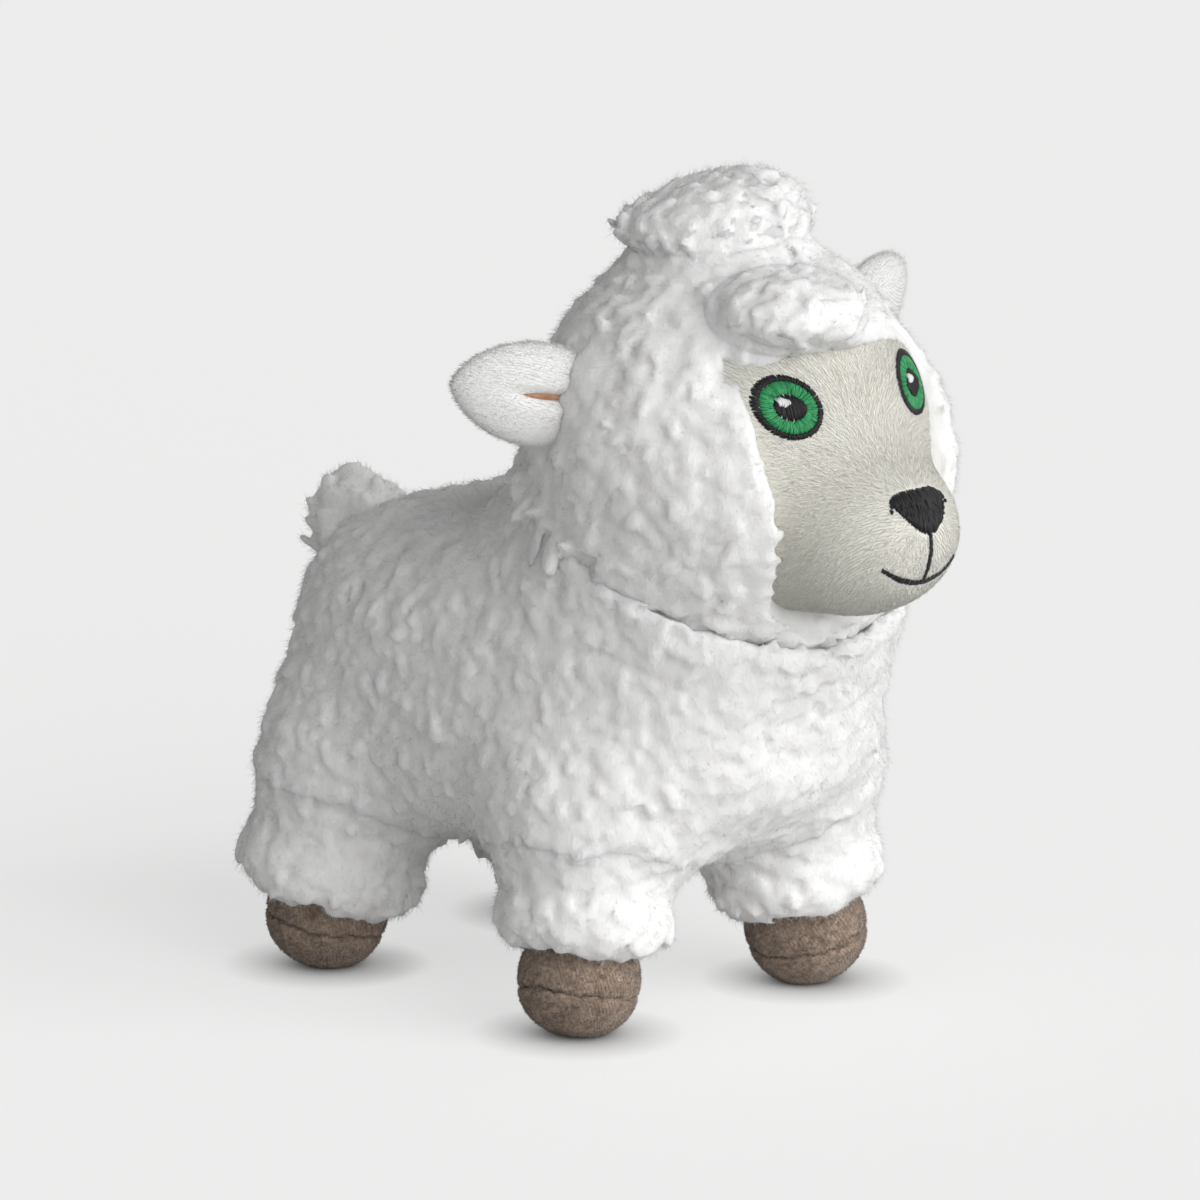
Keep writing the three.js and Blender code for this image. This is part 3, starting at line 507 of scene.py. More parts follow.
def ellipsoid_distance(places, middle, half):
    """About how far places lie outside an ellipsoid: its stretched distance less one, over its slope."""
    offset = places - middle
    stretched = np.linalg.norm(offset / half, axis=-1)
    slope = np.linalg.norm(offset / half**2, axis=-1)
    return stretched * (stretched - 1) / np.maximum(slope, 1e-6)


def trunk_reach(directions):
    """How far the trunk reaches from its middle: a superellipsoid that sags at the belly, swells at the chest
    and over each leg, slopes at the rump and rises in a collar round the hood."""
    reach = np.sum(np.abs(directions / BODY_HALF) ** BODY_FULLNESS, axis=-1) ** (-1 / BODY_FULLNESS)
    back, up = directions[..., 1], directions[..., 2]
    reach = reach + CHEST_SWELL * np.maximum(-back, 0) ** 2 + BELLY_SWELL * np.maximum(-up, 0) ** 2
    reach = reach - RUMP_SLOPE * np.maximum(back, 0) * np.maximum(up, 0) ** 2 - FLEECE_INSET
    places = body_middle + directions * reach[..., None]
    gap = np.linalg.norm(places - head_middle, axis=-1) - hood_radius
    reach = reach + COLLAR_SWELL * np.exp(-((gap / COLLAR_REACH) ** 2))
    for hip in hips.values():
        flank = hip + np.array([np.sign(hip[0]) * THIGH_OUT, 0, THIGH_UP])
        gap = np.linalg.norm(places - flank, axis=-1)
        reach = reach + THIGH_SWELL * np.exp(-((gap / THIGH_REACH) ** 2))
    return reach


def trunk_distance(places):
    """How far places lie outside the trunk, measured straight from its middle."""
    offset = places - body_middle
    return np.linalg.norm(offset, axis=-1) - trunk_reach(unit(offset))


HALVINGS = 22  # of a span, to find where a ray leaves a form


def crossing(origins, directions, span, distance):
    """How far along rays that start inside a form they leave it, found by halving the span."""
    near, far = np.zeros(directions.shape[:-1]), np.broadcast_to(span, directions.shape[:-1])
    for _ in range(HALVINGS):
        half = (near + far) / 2
        inside = distance(origins + directions * half[..., None]) < 0
        near, far = np.where(inside, half, near), np.where(inside, far, half)
    return near


def body_distance(places):
    """How far places lie outside the body: a soft union of the trunk, the hood's ball, whose seat is cut out
    later, and an ellipsoid for each thigh."""
    ball = np.linalg.norm(places - head_middle, axis=-1) - hood_radius
    gap = soft_union(trunk_distance(places), ball, COLLAR_FILL)
    for name, hip in hips.items():
        hind = HIND_SHIFT * name.startswith("hind")
        thigh = hip + np.array([np.sign(hip[0]) * hind, hind, THIGH_RAISED])
        gap = soft_union(gap, ellipsoid_distance(places, thigh, THIGH_HALF + hind), SEAM_FILL)
    return gap


def body_reach(directions):
    """How far the body's cover lies from its middle: its form, less a round seat for the hood."""
    seat = before_ball(body_middle, directions, head_middle, hood_radius + HOOD_ROOM)
    return soft_union(crossing(body_middle, directions, BODY_SPAN, body_distance), seat, RIM_SOFTNESS)


def clumped(grid, clumps):
    """A grid of rings swollen along its normals by clumps of each size and height."""
    heights = [height * (clump_height(grid, size) - 0.5) for size, height in clumps]
    return grid + grid_normals(grid) * np.sum(heights, axis=0)[..., None]


def skin_normals(vertices, triangles):
    """Unit normals of a skin at its points: the sum of the cross products of the triangles round each."""
    corners = vertices[triangles]
    faces = np.cross(corners[:, 1] - corners[:, 0], corners[:, 2] - corners[:, 0])
    sums = [np.bincount(triangles.ravel(), np.repeat(faces[:, k], 3), len(vertices)) for k in range(3)]
    return unit(np.stack(sums, axis=-1))


SPOT_SHAKE = 0.25  # of the spacing


def fleece_layers(grid, spacing, lock, clumps, lean, stray, wanted, random):
    """The layers of a fleece cover: the clumped shell, and a lock at each even spot that is wanted, laid by
    the lean."""
    shell = clumped(grid, clumps)
    spots, normals = scatter(shell, grid_normals(grid), spacing)
    spots = spots + SPOT_SHAKE * spacing * random.normal(size=spots.shape)
    keep = wanted(spots)
    spots, normals = spots[keep], normals[keep]
    flows = laid(normals, lean(spots), stray, random)
    return [closed_shell(shell, SKIN_TIP), locks(spots, normals, flows, lock, random)]


FUZZ_SHARE = 0.25  # of the skin's points that carry a fibre
FUZZ_LENGTH = 1.6
FUZZ_THICKNESS = 0.10
FUZZ_STRAY = 0.9
FUZZ_LAID = 1.1  # share of the lean in a fibre's way


def fuzzy(skin, lean, wanted, random):
    """A skin and the short fibres that stand out of it where they are wanted, laid over by the lean."""
    kept = wanted(skin[0]) & (random.random(len(skin[0])) < FUZZ_SHARE)
    starts, outs = skin[0][kept], skin_normals(*skin[:2])[kept]
    flows = laid(outs, lean(starts), FUZZ_STRAY, random)
    return [skin, nap_fibres(starts, unit(outs + FUZZ_LAID * flows), FUZZ_LENGTH, FUZZ_THICKNESS, random)]


SKIN_OVERLAP = 5.0  # how far one cover goes on under the next
SKIN_DIVE = 3.0  # how deep it is there


def cut_skin(skin, gap, ends, deep):
    """The part of a skin where the gap is below zero. It goes on a little beyond that, sunk ever deeper
    towards the nearest of the deep points, and is closed by fans from its open edges to the end points."""
    vertices, triangles, tips = skin
    count = len(vertices)
    kept = triangles[np.all(gap[triangles] < SKIN_OVERLAP, axis=1)].astype(np.int64)
    depth = SKIN_DIVE * np.clip(gap / SKIN_OVERLAP, 0, 1) ** 2
    nearest = np.argmin(np.linalg.norm(vertices[:, None] - ends, axis=-1), axis=1)
    sunk = vertices + unit(deep[nearest] - vertices) * depth[:, None]
    edges = np.concatenate([kept[:, [0, 1]], kept[:, [1, 2]], kept[:, [2, 0]]])
    is_open = ~np.isin(edges[:, 1] * count + edges[:, 0], edges[:, 0] * count + edges[:, 1])
    first, second = edges[is_open].T
    fans = np.stack([second, first, count + nearest[first]], axis=1)
    used, numbers = np.unique(np.concatenate([kept, fans]), return_inverse=True)
    points = np.concatenate([sunk, ends])[used]
    return points, numbers.reshape(-1, 3), np.full(len(points), tips[0])


def body_shown(spots):
    """Whether a spot on the body can be seen: not in the seat of the hood."""
    return np.linalg.norm(spots - head_middle, axis=-1) > hood_radius + HOOD_ROOM + SEAT_MARGIN


def hanging(spots):
    """Locks of the body hang down and a little backwards."""
    return BODY_HANG


body_rings = int(np.pi * BODY_HALF[1] / BODY_CELL)
body_sides = int(2 * np.pi * BODY_HALF[0] / BODY_CELL)
body_ways = directions_about((0, 1, 0), body_rings, body_sides)
body_grid = body_middle + body_ways * body_reach(body_ways)[..., None]
body_random = np.random.default_rng(1)
body_layers = fleece_layers(
    body_grid, BODY_LOCK_SPACING, BODY_LOCK, BODY_CLUMPS, hanging, BODY_STRAY, body_shown, body_random,
)

HIP_RADIUS = 19.5
LEG_WAIST = 18.2
CUFF_RADIUS = 18.8
CUFF_EDGES = {"front": 23.5, "hind": 27.0}  # from the hip's middle
CUFF_RAGGED = 2.2
CUFF_RAG_SIZE = 9.0
CUFF_ROUND = 5.0
HEM_MARGIN = 1.0
HEM_END = 0.03  # share of the hem's radius at which its rings end
HIND_PROUD = 3.0  # of a hind sleeve, outwards and backwards
DOME_START = 0.05  # of the sleeve's dome from its pole, in radians
FOOT_START = -4.0  # down from the hip's middle, where the search narrows to the tube
FOOT_LENGTH = 16.0
SOLE_MIDDLE = 13.0  # height at which a leg's axis meets the middle of its hoof
SLEEVE_TALL = 34.0  # of the sleeve inside the flank, above the hip's middle
SLEEVE_TUCK = 2.4  # of its upper end, under the flank
TUCK_START = -2.0  # down from the hip's middle
TUCK_LENGTH = 16.0
SLEEVE_FADE = 16.0  # how far above the hip the last locks are
SLEEVE_END = 10.0  # above the hip's middle, inside the flank
TUBE_TALL = 34.0  # of the rounded end of the leg's tube, above the hip's middle
BELLY_FILL = 5.0  # of the sleeve's foot towards the belly
LEG_LOCK_SPACING = 2.1
LEG_LOCK = (4.8, 3.4, 1.05, 0.5)
LEG_CLUMPS = ((9.0, 0.9), (4.2, 0.5))
LEG_CELL = 1.1
LEG_STRAY = 0.5
TRUNK_SHOW = -2.0  # from the trunk's surface, where the last locks of a leg are
LEG_SIDES = 110


def sleeve_grid(hip, axis, proud, cuff_edge):
    """A leg's sleeve as rings about its axis. Each point is where a soft union of the trunk and a tube ends,
    found by halving. The tube narrows evenly to the cuff and is drawn in at the waist by a sine. Upwards
    it is tucked under the flank and closed by a dome, and at the cuff by a quarter round and a flat hem."""
    first, second = across(axis)
    turn = 2 * np.pi * np.arange(LEG_SIDES) / LEG_SIDES
    ring = first * np.cos(turn)[:, None] + second * np.sin(turn)[:, None]
    straight = cuff_edge - CUFF_ROUND
    dome_rings = int(SLEEVE_TALL * np.pi / 2 / LEG_CELL)
    dome = -SLEEVE_TALL * np.cos(np.linspace(DOME_START, np.pi / 2, dome_rings))
    along = np.concatenate([dome, np.linspace(0, straight, int(straight / LEG_CELL))[1:]])[:, None]
    share = np.clip(along / straight, 0, 1)
    tube = HIP_RADIUS + (CUFF_RADIUS - HIP_RADIUS) * share
    tube = tube - (HIP_RADIUS - LEG_WAIST) * np.sin(np.pi * share) ** 2
    tube = tube * np.sqrt(np.maximum(1 - np.minimum(along / TUBE_TALL, 0) ** 2, 0))
    tube = tube + HIND_PROUD * np.maximum(ring @ proud, 0)
    wide = SLEEVE_TALL * np.sqrt(1 - np.minimum(along / SLEEVE_TALL, 0) ** 2)
    foot = np.clip((along - FOOT_START) / FOOT_LENGTH, 0, 1)
    wide = wide * (1 - foot) + (tube + BELLY_FILL) * foot
    tuck = SLEEVE_TUCK * np.clip((TUCK_START - along) / TUCK_LENGTH, 0, 1)
    middle = hip + along[..., None] * axis

    def sleeve_distance(places):
        """How far places on the rings lie outside the sleeve."""
        from_axis = np.linalg.norm(places - middle, axis=-1)
        return soft_union(trunk_distance(places), from_axis - tube, SEAM_FILL) + tuck

    near = crossing(middle, np.broadcast_to(ring, (len(along), *ring.shape)), wide, sleeve_distance)
    bend = np.linspace(0, np.pi / 2, int(CUFF_ROUND * np.pi / 2 / LEG_CELL) + 2)[1:, None]
    edge = near[-1] - CUFF_ROUND * (1 - np.cos(bend))
    hem = edge[-1] * np.linspace(1, HEM_END, int(CUFF_RADIUS / LEG_CELL))[1:, None]
    drop = np.concatenate([along, straight + CUFF_ROUND * np.sin(bend), np.full((len(hem), 1), cuff_edge)])
    ragged = CUFF_RAGGED * soft_noise(hip + CUFF_RADIUS * ring, CUFF_RAG_SIZE, 8)
    drop = drop + ragged * np.clip(drop / cuff_edge, 0, 1) ** 3
    return hip + drop[..., None] * axis + np.concatenate([near, edge, hem])[..., None] * ring


def from_hip(spots, leg_name):
    """How far spots lie along a leg from its hip, and how far from its axis."""
    offset = spots - hips[leg_name]
    along = offset @ leg_axes[leg_name]
    return along, np.linalg.norm(offset - along[:, None] * leg_axes[leg_name], axis=-1)


def on_hem(spots, leg_name):
    """Whether a spot is on the flat hem round the hoof."""
    along, from_axis = from_hip(spots, leg_name)
    return (along > 0) & (from_axis < CUFF_RADIUS - CUFF_ROUND - HEM_MARGIN)


def leg_shown(spots, leg_name):
    """Whether a spot on a leg can be seen: outside the trunk, and not on the hem. Above the hip fewer and
    fewer are kept, picked at random, so that no edge shows."""
    shown = np.clip((from_hip(spots, leg_name)[0] + SLEEVE_FADE) / SLEEVE_FADE, 0, 1)
    picked = cell_random(np.floor(2 * spots), 9) < shown
    return picked & ~on_hem(spots, leg_name) & (trunk_distance(spots) > TRUNK_SHOW)


leg_axes = {}
leg_layers = []
for number, (leg_name, hip) in enumerate(hips.items()):
    hoof_low, hoof_high = box_of(f"{leg_name}_hoof_band", f"{leg_name}_hoof_sole")
    hoof_place = (hoof_low + hoof_high) / 2
    leg_axis = unit(np.array([hoof_place[0], hoof_place[1], SOLE_MIDDLE]) - hip)
    leg_axes[leg_name] = leg_axis
    proud = np.array([np.sign(hip[0]), 1.0, 0]) / np.sqrt(2) * leg_name.startswith("hind")
    leg_grid = sleeve_grid(hip, leg_axis, proud, CUFF_EDGES[leg_name.split("_")[0]])
    leg_layers += fleece_layers(
        leg_grid, LEG_LOCK_SPACING, LEG_LOCK, LEG_CLUMPS, lambda spots: leg_axis, LEG_STRAY,
        lambda spots: leg_shown(spots, leg_name), np.random.default_rng(10 + number),
    )


SLEEVE_FROM = 14.0  # below the hip's middle, to the middle of the ball that parts sleeve from flank
SLEEVE_BALL = 26.0
STUMP_STEEP = 2.5  # by which the flank's skin ends sooner under the sleeve than the sleeve's under it


def sleeve_gap(places, leg_name):
    """How far places lie outside the part of the skin that is a leg's sleeve: a ball drawn out downwards."""
    offset = places - hips[leg_name] - SLEEVE_FROM * leg_axes[leg_name]
    beyond = np.maximum(offset @ leg_axes[leg_name], 0)
    gap = np.linalg.norm(offset - beyond[..., None] * leg_axes[leg_name], axis=-1) - SLEEVE_BALL - beyond
    return np.where(gap < 0, STUMP_STEEP * gap, gap)


def nearest_sleeve(places):
    """How far places lie outside the nearest of the sleeves."""
    return np.min([sleeve_gap(places, leg_name) for leg_name in hips], axis=0)


def body_bare(spots):
    """Whether a spot is on the body's own skin: not in the seat of the hood, and not under a sleeve."""
    return body_shown(spots) & (nearest_sleeve(spots) > 0)


def leg_bare(spots, leg_name):
    """Whether a spot is on a leg's own skin: in its sleeve, and not on the hem round the hoof."""
    return (sleeve_gap(spots, leg_name) < 0) & ~on_hem(spots, leg_name)


body_skin = melted(body_layers + leg_layers)
hip_ends = np.array([hips[leg_name] - SLEEVE_END * leg_axes[leg_name] for leg_name in hips])
flank = cut_skin(body_skin, -nearest_sleeve(body_skin[0]), hip_ends, hip_ends)
body_parts = fuzzy(flank, hanging, body_bare, body_random)
body_nodes = ("body_left_fleece", "body_right_fleece", "belly_fleece", "body_stuffing")
body_piece = add_piece("body_fleece", body_parts, fleece, "torso", body_nodes)
for number, (leg_name, hip) in enumerate(hips.items()):
    leg_axis = leg_axes[leg_name]
    hip_end = hip_ends[number : number + 1]
    sleeve = cut_skin(body_skin, sleeve_gap(body_skin[0], leg_name), hip_end, hip_end)
    leg_parts = fuzzy(
        sleeve, lambda spots: leg_axis, lambda spots: leg_bare(spots, leg_name),
        np.random.default_rng(15 + number),
    )
    leg_nodes = (f"{leg_name}_leg_fleece", f"{leg_name}_leg_stuffing")
    leg_piece = add_piece(f"{leg_name}_leg_cover", leg_parts, fleece, None, leg_nodes)
    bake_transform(leg_piece)

# Hooves
# Brown suede, a band and a sole sewn together round the middle with the seam turned in, and stuffed.
# Both are turned about the leg's axis, puckered by the stitches, and pressed flat by the ground.
HOOF_RADIUS = 14.0
HOOF_HALF_HEIGHT = 13.0
HOOF_PLUMP = 2.2
HOOF_MIDDLE = 32.0  # from the hip's middle
HOOF_SEAM = 2.5  # below the hoof's middle
HOOF_SIDES = 120
HOOF_ROWS = 44
SEAM_DEPTH = 0.9
SEAM_HALF_WIDTH = 0.5
SEAM_WANDER = 0.55
SEAM_WAVES = ((2, 1.0, 1), (5, 0.5, 2), (13, 0.35, -1), (29, 0.25, 3))  # number round it, height, phase
WANDER_REACH = 5.0
PUCKERS = 26
PUCKER_DEPTH = 0.22
PUCKER_REACH = 2.0
PEBBLE = (1.1, 0.12)  # size and height of the suede's unevenness
GROUND_ROOM = (0.1, 0.05)  # over the ground, of the suede and of its nap
BAND_TOP = -11.5  # from the hoof's middle, inside the cuff
SUEDE_SPACING = 0.55
SUEDE_STRAY = 2.5
SUEDE_NAP = (0.5, 0.2)  # length and thickness
SUEDE_FLECK = 0.6  # size of its lighter and darker spots
SUEDE_DARK = (0.13, 0.090, 0.066)
SUEDE_LIGHT = (0.60, 0.46, 0.36)

suede = pile_material(
    "brown_suede", SUEDE_DARK, SUEDE_LIGHT, coarse=0.006, fine=0.0004, contrast=0.6, bump=0.0004, sheen=0.25,
)


def hoof_grid(hip, axis, first, last, phase):
    """Part of a hoof between two heights along the leg's axis, as rings: a superellipse turned about the
    axis, drawn in along the wandering seam and by the puckers beside it, and held above the ground."""
    heights = np.linspace(first, last, HOOF_ROWS)
    turn = 2 * np.pi * np.arange(HOOF_SIDES) / HOOF_SIDES
    waves = [height * np.sin(count * turn + steps * phase) for count, height, steps in SEAM_WAVES]
    wander = SEAM_WANDER * np.sum(waves, axis=0)
    near = np.exp(-np.abs(heights - HOOF_SEAM) / WANDER_REACH)[:, None]
    along = heights[:, None] + wander * near
    share = np.clip(np.abs(along - wander * near) / HOOF_HALF_HEIGHT, 0, 0.9995)
    radius = HOOF_RADIUS * (1 - share**HOOF_PLUMP) ** (1 / HOOF_PLUMP)
    from_seam = np.abs(heights - HOOF_SEAM)[:, None]
    radius = radius - SEAM_DEPTH * np.exp(-((from_seam / SEAM_HALF_WIDTH) ** 2))
    radius = radius - PUCKER_DEPTH * np.exp(-from_seam / PUCKER_REACH) * np.sin(PUCKERS * turn + phase) ** 2
    ways = across(axis)
    ring = ways[0] * np.cos(turn)[:, None] + ways[1] * np.sin(turn)[:, None]
    grid = hip + (HOOF_MIDDLE + along)[..., None] * axis + radius[..., None] * ring
    grid = grid + grid_normals(grid) * (PEBBLE[1] * soft_noise(grid, PEBBLE[0]))[..., None]
    grid[..., 2] = np.maximum(grid[..., 2], GROUND_ROOM[0])
    return grid


for number, (leg_name, hip) in enumerate(hips.items()):
    spans = (("band", BAND_TOP, HOOF_SEAM), ("sole", HOOF_SEAM, HOOF_HALF_HEIGHT))
    for part_number, (part_name, first, last) in enumerate(spans):
        grid = hoof_grid(hip, leg_axes[leg_name], first, last, 1.7 * number)
        random = np.random.default_rng(20 + 2 * number + part_number)
        spots, normals = scatter(grid, grid_normals(grid), SUEDE_SPACING)
        flows = laid(normals, (0, 0, -1.0), SUEDE_STRAY, random)
        nap = nap_fibres(spots, unit(normals + flows), *SUEDE_NAP, random)
        nap = (nap[0], nap[1], np.repeat(random.random(len(spots)), 4))
        nap[0][:, 2] = np.maximum(nap[0][:, 2], GROUND_ROOM[1])
        tip = 0.42 + 0.4 * soft_noise(grid, SUEDE_FLECK, 3)
        hoof_piece = add_piece(
            f"{leg_name}_hoof_{part_name}_suede", [closed_shell(grid, tip), nap], suede, f"{leg_name}_leg",
            (f"{leg_name}_hoof_{part_name}",),
        )

# Tail
# A short stub of fleece, stuffed and sewn to the rump, with its locks standing out to a ragged tuft.
# It is a ball that is drawn out towards its root, on which it wags.
TAIL_BALL = 8.4
TAIL_AHEAD = 9.0  # of the tuft's middle, beyond the root
TAIL_TAPER = 3.0  # of the ball, towards the root
TAIL_LOCK = (7.0, 4.6, 2.3, 1.5)
TAIL_SPACING = 2.6
TAIL_CLUMPS = ((6.0, 1.4), (3.2, 0.8))
TAIL_STRAY = 0.5
TAIL_CLEAR = 1.0  # from the root, where its locks begin
TAIL_UP = np.array([0, 0, 0.5])
TAIL_RINGS, TAIL_SIDES = 40, 60

tail_root, tail_turn = joint_of("tail_wag")
tail_way = np.array([0.0, tail_turn[2], -tail_turn[1]])
tail_middle = tail_root + tail_way * TAIL_AHEAD
tail_directions = directions_about(tail_way, TAIL_RINGS, TAIL_SIDES)
tail_reach = TAIL_BALL + TAIL_TAPER * np.maximum(-(tail_directions @ tail_way), 0)
tail_grid = tail_middle + tail_directions * tail_reach[..., None]


def tail_shown(spots):
    """Whether a spot on the tail stands clear of the rump."""
    return (spots - tail_root) @ tail_way > TAIL_CLEAR


def tail_lean(spots):
    """Locks of the tail lie away from its root and upwards."""
    return unit(spots - tail_root) + TAIL_UP


tail_random = np.random.default_rng(30)
tail_layers = fleece_layers(
    tail_grid, TAIL_SPACING, TAIL_LOCK, TAIL_CLUMPS, tail_lean, TAIL_STRAY, tail_shown, tail_random,
)
tail_parts = fuzzy(melted(tail_layers), tail_lean, tail_shown, tail_random)
tail_piece = add_piece("tail_cover", tail_parts, fleece, "tail", ("tail_fleece",))

# Hood and tufts
# Two panels of fleece sewn into a ball round the head, with a window cut for the face and a fringe that hangs
# over the body's collar. A forelock is sewn along the window's upper edge, and a topknot flops on the crown:
# clumped cushions under longer locks. One skin over all of them is cut into hood, forelock and topknot.
WINDOW_TOP_HALF = 35.0
WINDOW_CHIN_HALF = 21.0
WINDOW_ABOVE = 30.0  # window's upper edge, above the head's middle
WINDOW_BELOW = 40.0
WINDOW_DEPTH = 14.0
WINDOW_EDGE = 3.0  # over which the hood sinks to that depth
WINDOW_NARROWING, WINDOW_SQUARE, WINDOW_CORNER = 0.8, 6, 0.35  # powers that shape its outline
WINDOW_SHOW = 0.8  # inside the window, where the last locks are
WINDOW_FALL = 9.0  # from the window, where locks begin to fall towards the face
FACE_AIM = np.array([0, -70.0, -8.0])  # from the head's middle, where they fall to
HOOD_HANG = np.array([0, 0.35, -0.8])
HOOD_STRAY = 0.8
HOOD_FOOT = 0.80  # cosine of the cone round the neck that is left bare
HOOD_ABOUT = 49.0  # its radius, for the number of rings
HOOD_CELL = 1.1
HOOD_LOCK_SPACING = 2.3
HOOD_LOCK = (5.0, 3.7, 1.1, 0.45)
FRINGE_SPACING = 2.1  # of the locks that hang over the body's collar
FRINGE_LOCK = (7.0, 5.0, 2.4, 0.4)
FRINGE_HALF = 2.6  # of the strip along the collar's edge that they stand on
FRINGE_STRAY = 0.5
FRINGE_LIFT = 1.0  # over the body's locks
CROWN_SLOPE = 4.0  # of the hood, at the front of the crown
CROWN_WAY = np.array([0, -0.5, 0.87])
TEMPLE_DENT = 3.5  # beside the eyes
TEMPLE_WAY = np.array([0.70, -0.48, 0.53])
TEMPLE_REACH = 0.4
FORELOCK_HALF = np.array([18.0, 16.0, 8.0])
FORELOCK_RISE = np.radians(55)  # of its middle, seen from the head's middle
FORELOCK_ASIDE = 9.0  # to the lamb's right
FORELOCK_SUNK = 7.2  # of its middle, inside the hood's ball
FORELOCK_BED = 4.0  # by which the rise in the hood under it is smaller
MOUND_HALF = np.array([17.0, 17.0, 7.0])  # of the rise in the crown under the topknot
MOUND_SUNK = 5.0
MOUND_FILL = 10.0
NECK_SWELL = 3.2  # of the hood, where it meets the body
NECK_OUTSIDE = 8.0  # of the swell's middle, from the trunk
NECK_REACH = 12.0
HOOD_SPAN = 70.0
HOOD_CLUMPS = ((13.0, 1.6), (6.0, 0.7))


def window_inside(places):
    """How far a place lies inside the face's window, seen from the front, in millimetres and about: the
    window is a rounded shape, widest above the eyes and narrowing evenly to the chin."""
    side, up = np.abs(places[..., 0] - head_middle[0]), places[..., 2] - head_middle[2]
    share = np.clip((up + WINDOW_BELOW) / (WINDOW_ABOVE + WINDOW_BELOW), 0, 1)
    half = WINDOW_CHIN_HALF + (WINDOW_TOP_HALF - WINDOW_CHIN_HALF) * share**WINDOW_NARROWING
    half = half * (1 - np.abs(2 * share - 1) ** WINDOW_SQUARE) ** WINDOW_CORNER
    front = places[..., 1] < head_middle[1]
    return np.where(front, half - side, -FAR)


forelock_way = np.array([0, -np.cos(FORELOCK_RISE), np.sin(FORELOCK_RISE)])
forelock_middle = head_middle + forelock_way * (hood_radius - FORELOCK_SUNK)
forelock_middle[0] -= FORELOCK_ASIDE
topknot_root = joint_of("topknot_flop")[0]
neck_turn = joint_of("neck_turn")[1]
mound_middle = head_middle + unit(topknot_root - head_middle) * (hood_radius - MOUND_SUNK)


def hood_distance(places):
    """How far places lie outside the hood's cover: a ball that is thinner at the temples and fuller where it
    meets the body, softly joined to the forelock and to a mound under the topknot."""
    offset = places - head_middle
    way = unit(offset)
    temple = np.stack([np.abs(way[..., 0]), way[..., 1], way[..., 2]], axis=-1) - TEMPLE_WAY
    dent = TEMPLE_DENT * np.exp(-np.sum(temple**2, axis=-1) / TEMPLE_REACH**2)
    dent = dent + CROWN_SLOPE * np.maximum(way @ CROWN_WAY, 0) ** 2
    dent = dent - NECK_SWELL * np.exp(-(((trunk_distance(places) - NECK_OUTSIDE) / NECK_REACH) ** 2))
    gap = np.linalg.norm(offset, axis=-1) - hood_radius + FLEECE_INSET + dent
    bed = ellipsoid_distance(places, forelock_middle, FORELOCK_HALF - FORELOCK_BED)
    gap = soft_union(gap, bed, MOUND_FILL)
    return soft_union(gap, ellipsoid_distance(places, mound_middle, MOUND_HALF), MOUND_FILL)


def hood_reach(directions):
    """How far the hood lies from the head's middle: its form, sunk under the face inside the window."""
    sunk = np.clip(window_inside(head_middle + directions * hood_radius) / WINDOW_EDGE, 0, 1)
    form = crossing(head_middle, directions, HOOD_SPAN, hood_distance)
    return form - WINDOW_DEPTH * sunk * sunk * (3 - 2 * sunk)


def hood_shown(spots):
    """Whether a spot on the hood can be seen: outside the window, and not on the ball's foot in the body."""
    return (window_inside(spots) < WINDOW_SHOW) & (unit(spots - head_middle) @ -neck_turn < HOOD_FOOT)


def hood_lean(spots):
    """Locks of the hood hang down, and beside the window they fall towards the face."""
    near = np.clip(1 + window_inside(spots) / WINDOW_FALL, 0, 1)[:, None]
    face = unit(head_middle + FACE_AIM - spots)
    return face * near + HOOD_HANG * (1 - near)


hood_rings, hood_sides = int(np.pi * HOOD_ABOUT / HOOD_CELL), int(2 * np.pi * HOOD_ABOUT / HOOD_CELL)
hood_ways = directions_about((0, -1, 0), hood_rings, hood_sides)
hood_grid = head_middle + hood_ways * hood_reach(hood_ways)[..., None]
hood_random = np.random.default_rng(40)
rim_spots, rim_normals = scatter(body_grid, grid_normals(body_grid), FRINGE_SPACING)
on_rim = np.abs(np.linalg.norm(rim_spots - head_middle, axis=-1) - hood_radius) < FRINGE_HALF
rim_spots, rim_normals = rim_spots[on_rim], rim_normals[on_rim]
rim_flows = laid(rim_normals, rim_spots - head_middle, FRINGE_STRAY, hood_random)
fringe = locks(rim_spots + FRINGE_LIFT * rim_normals, rim_normals, rim_flows, FRINGE_LOCK, hood_random)
hood_layers = fleece_layers(
    hood_grid, HOOD_LOCK_SPACING, HOOD_LOCK, HOOD_CLUMPS, hood_lean, HOOD_STRAY, hood_shown, hood_random,
)

FORELOCK_LOCK = (5.2, 3.8, 1.2, 0.5)
TOPKNOT_LOCK = (6.0, 4.0, 1.5, 0.9)
FORELOCK_INSET = np.array([2.0, 2.0, 1.5])  # of its cushion, inside its outline
FORELOCK_PARTED = 0.03  # share of the way from the middle in its locks' lean
FORELOCK_SWEEP = (-0.3, 0.4)  # forwards and up
FORELOCK_STRAY = 0.7
FORELOCK_ROWS = (60, 70)  # rings and sides
FORELOCK_MARGIN = 2.0  # of its part of the skin, round its outline
TOPKNOT_INSET = np.array([3.5, 3.5, 4.5])
TOPKNOT_SWEEP = np.array([0.5, -0.4, 0.6])
TOPKNOT_STRAY = 0.6
TOPKNOT_ROWS = (60, 80)
TOPKNOT_MARGIN = 3.6
TUFT_SPACING = 2.5
TUFT_CLUMPS = ((11.0, 2.0), (5.0, 0.6))
TOPKNOT_SUNK = 4.5
TOPKNOT_SWEPT = np.array([0.73, -0.68, 0])  # side that it is swept to
TOPKNOT_RISE = 0.05  # towards that side
TOPKNOT_WEDGE = 0.45  # share by which it is thicker at that side, and thinner at the other


def everywhere(spots):
    """All spots are wanted."""
    return np.ones(len(spots), bool)


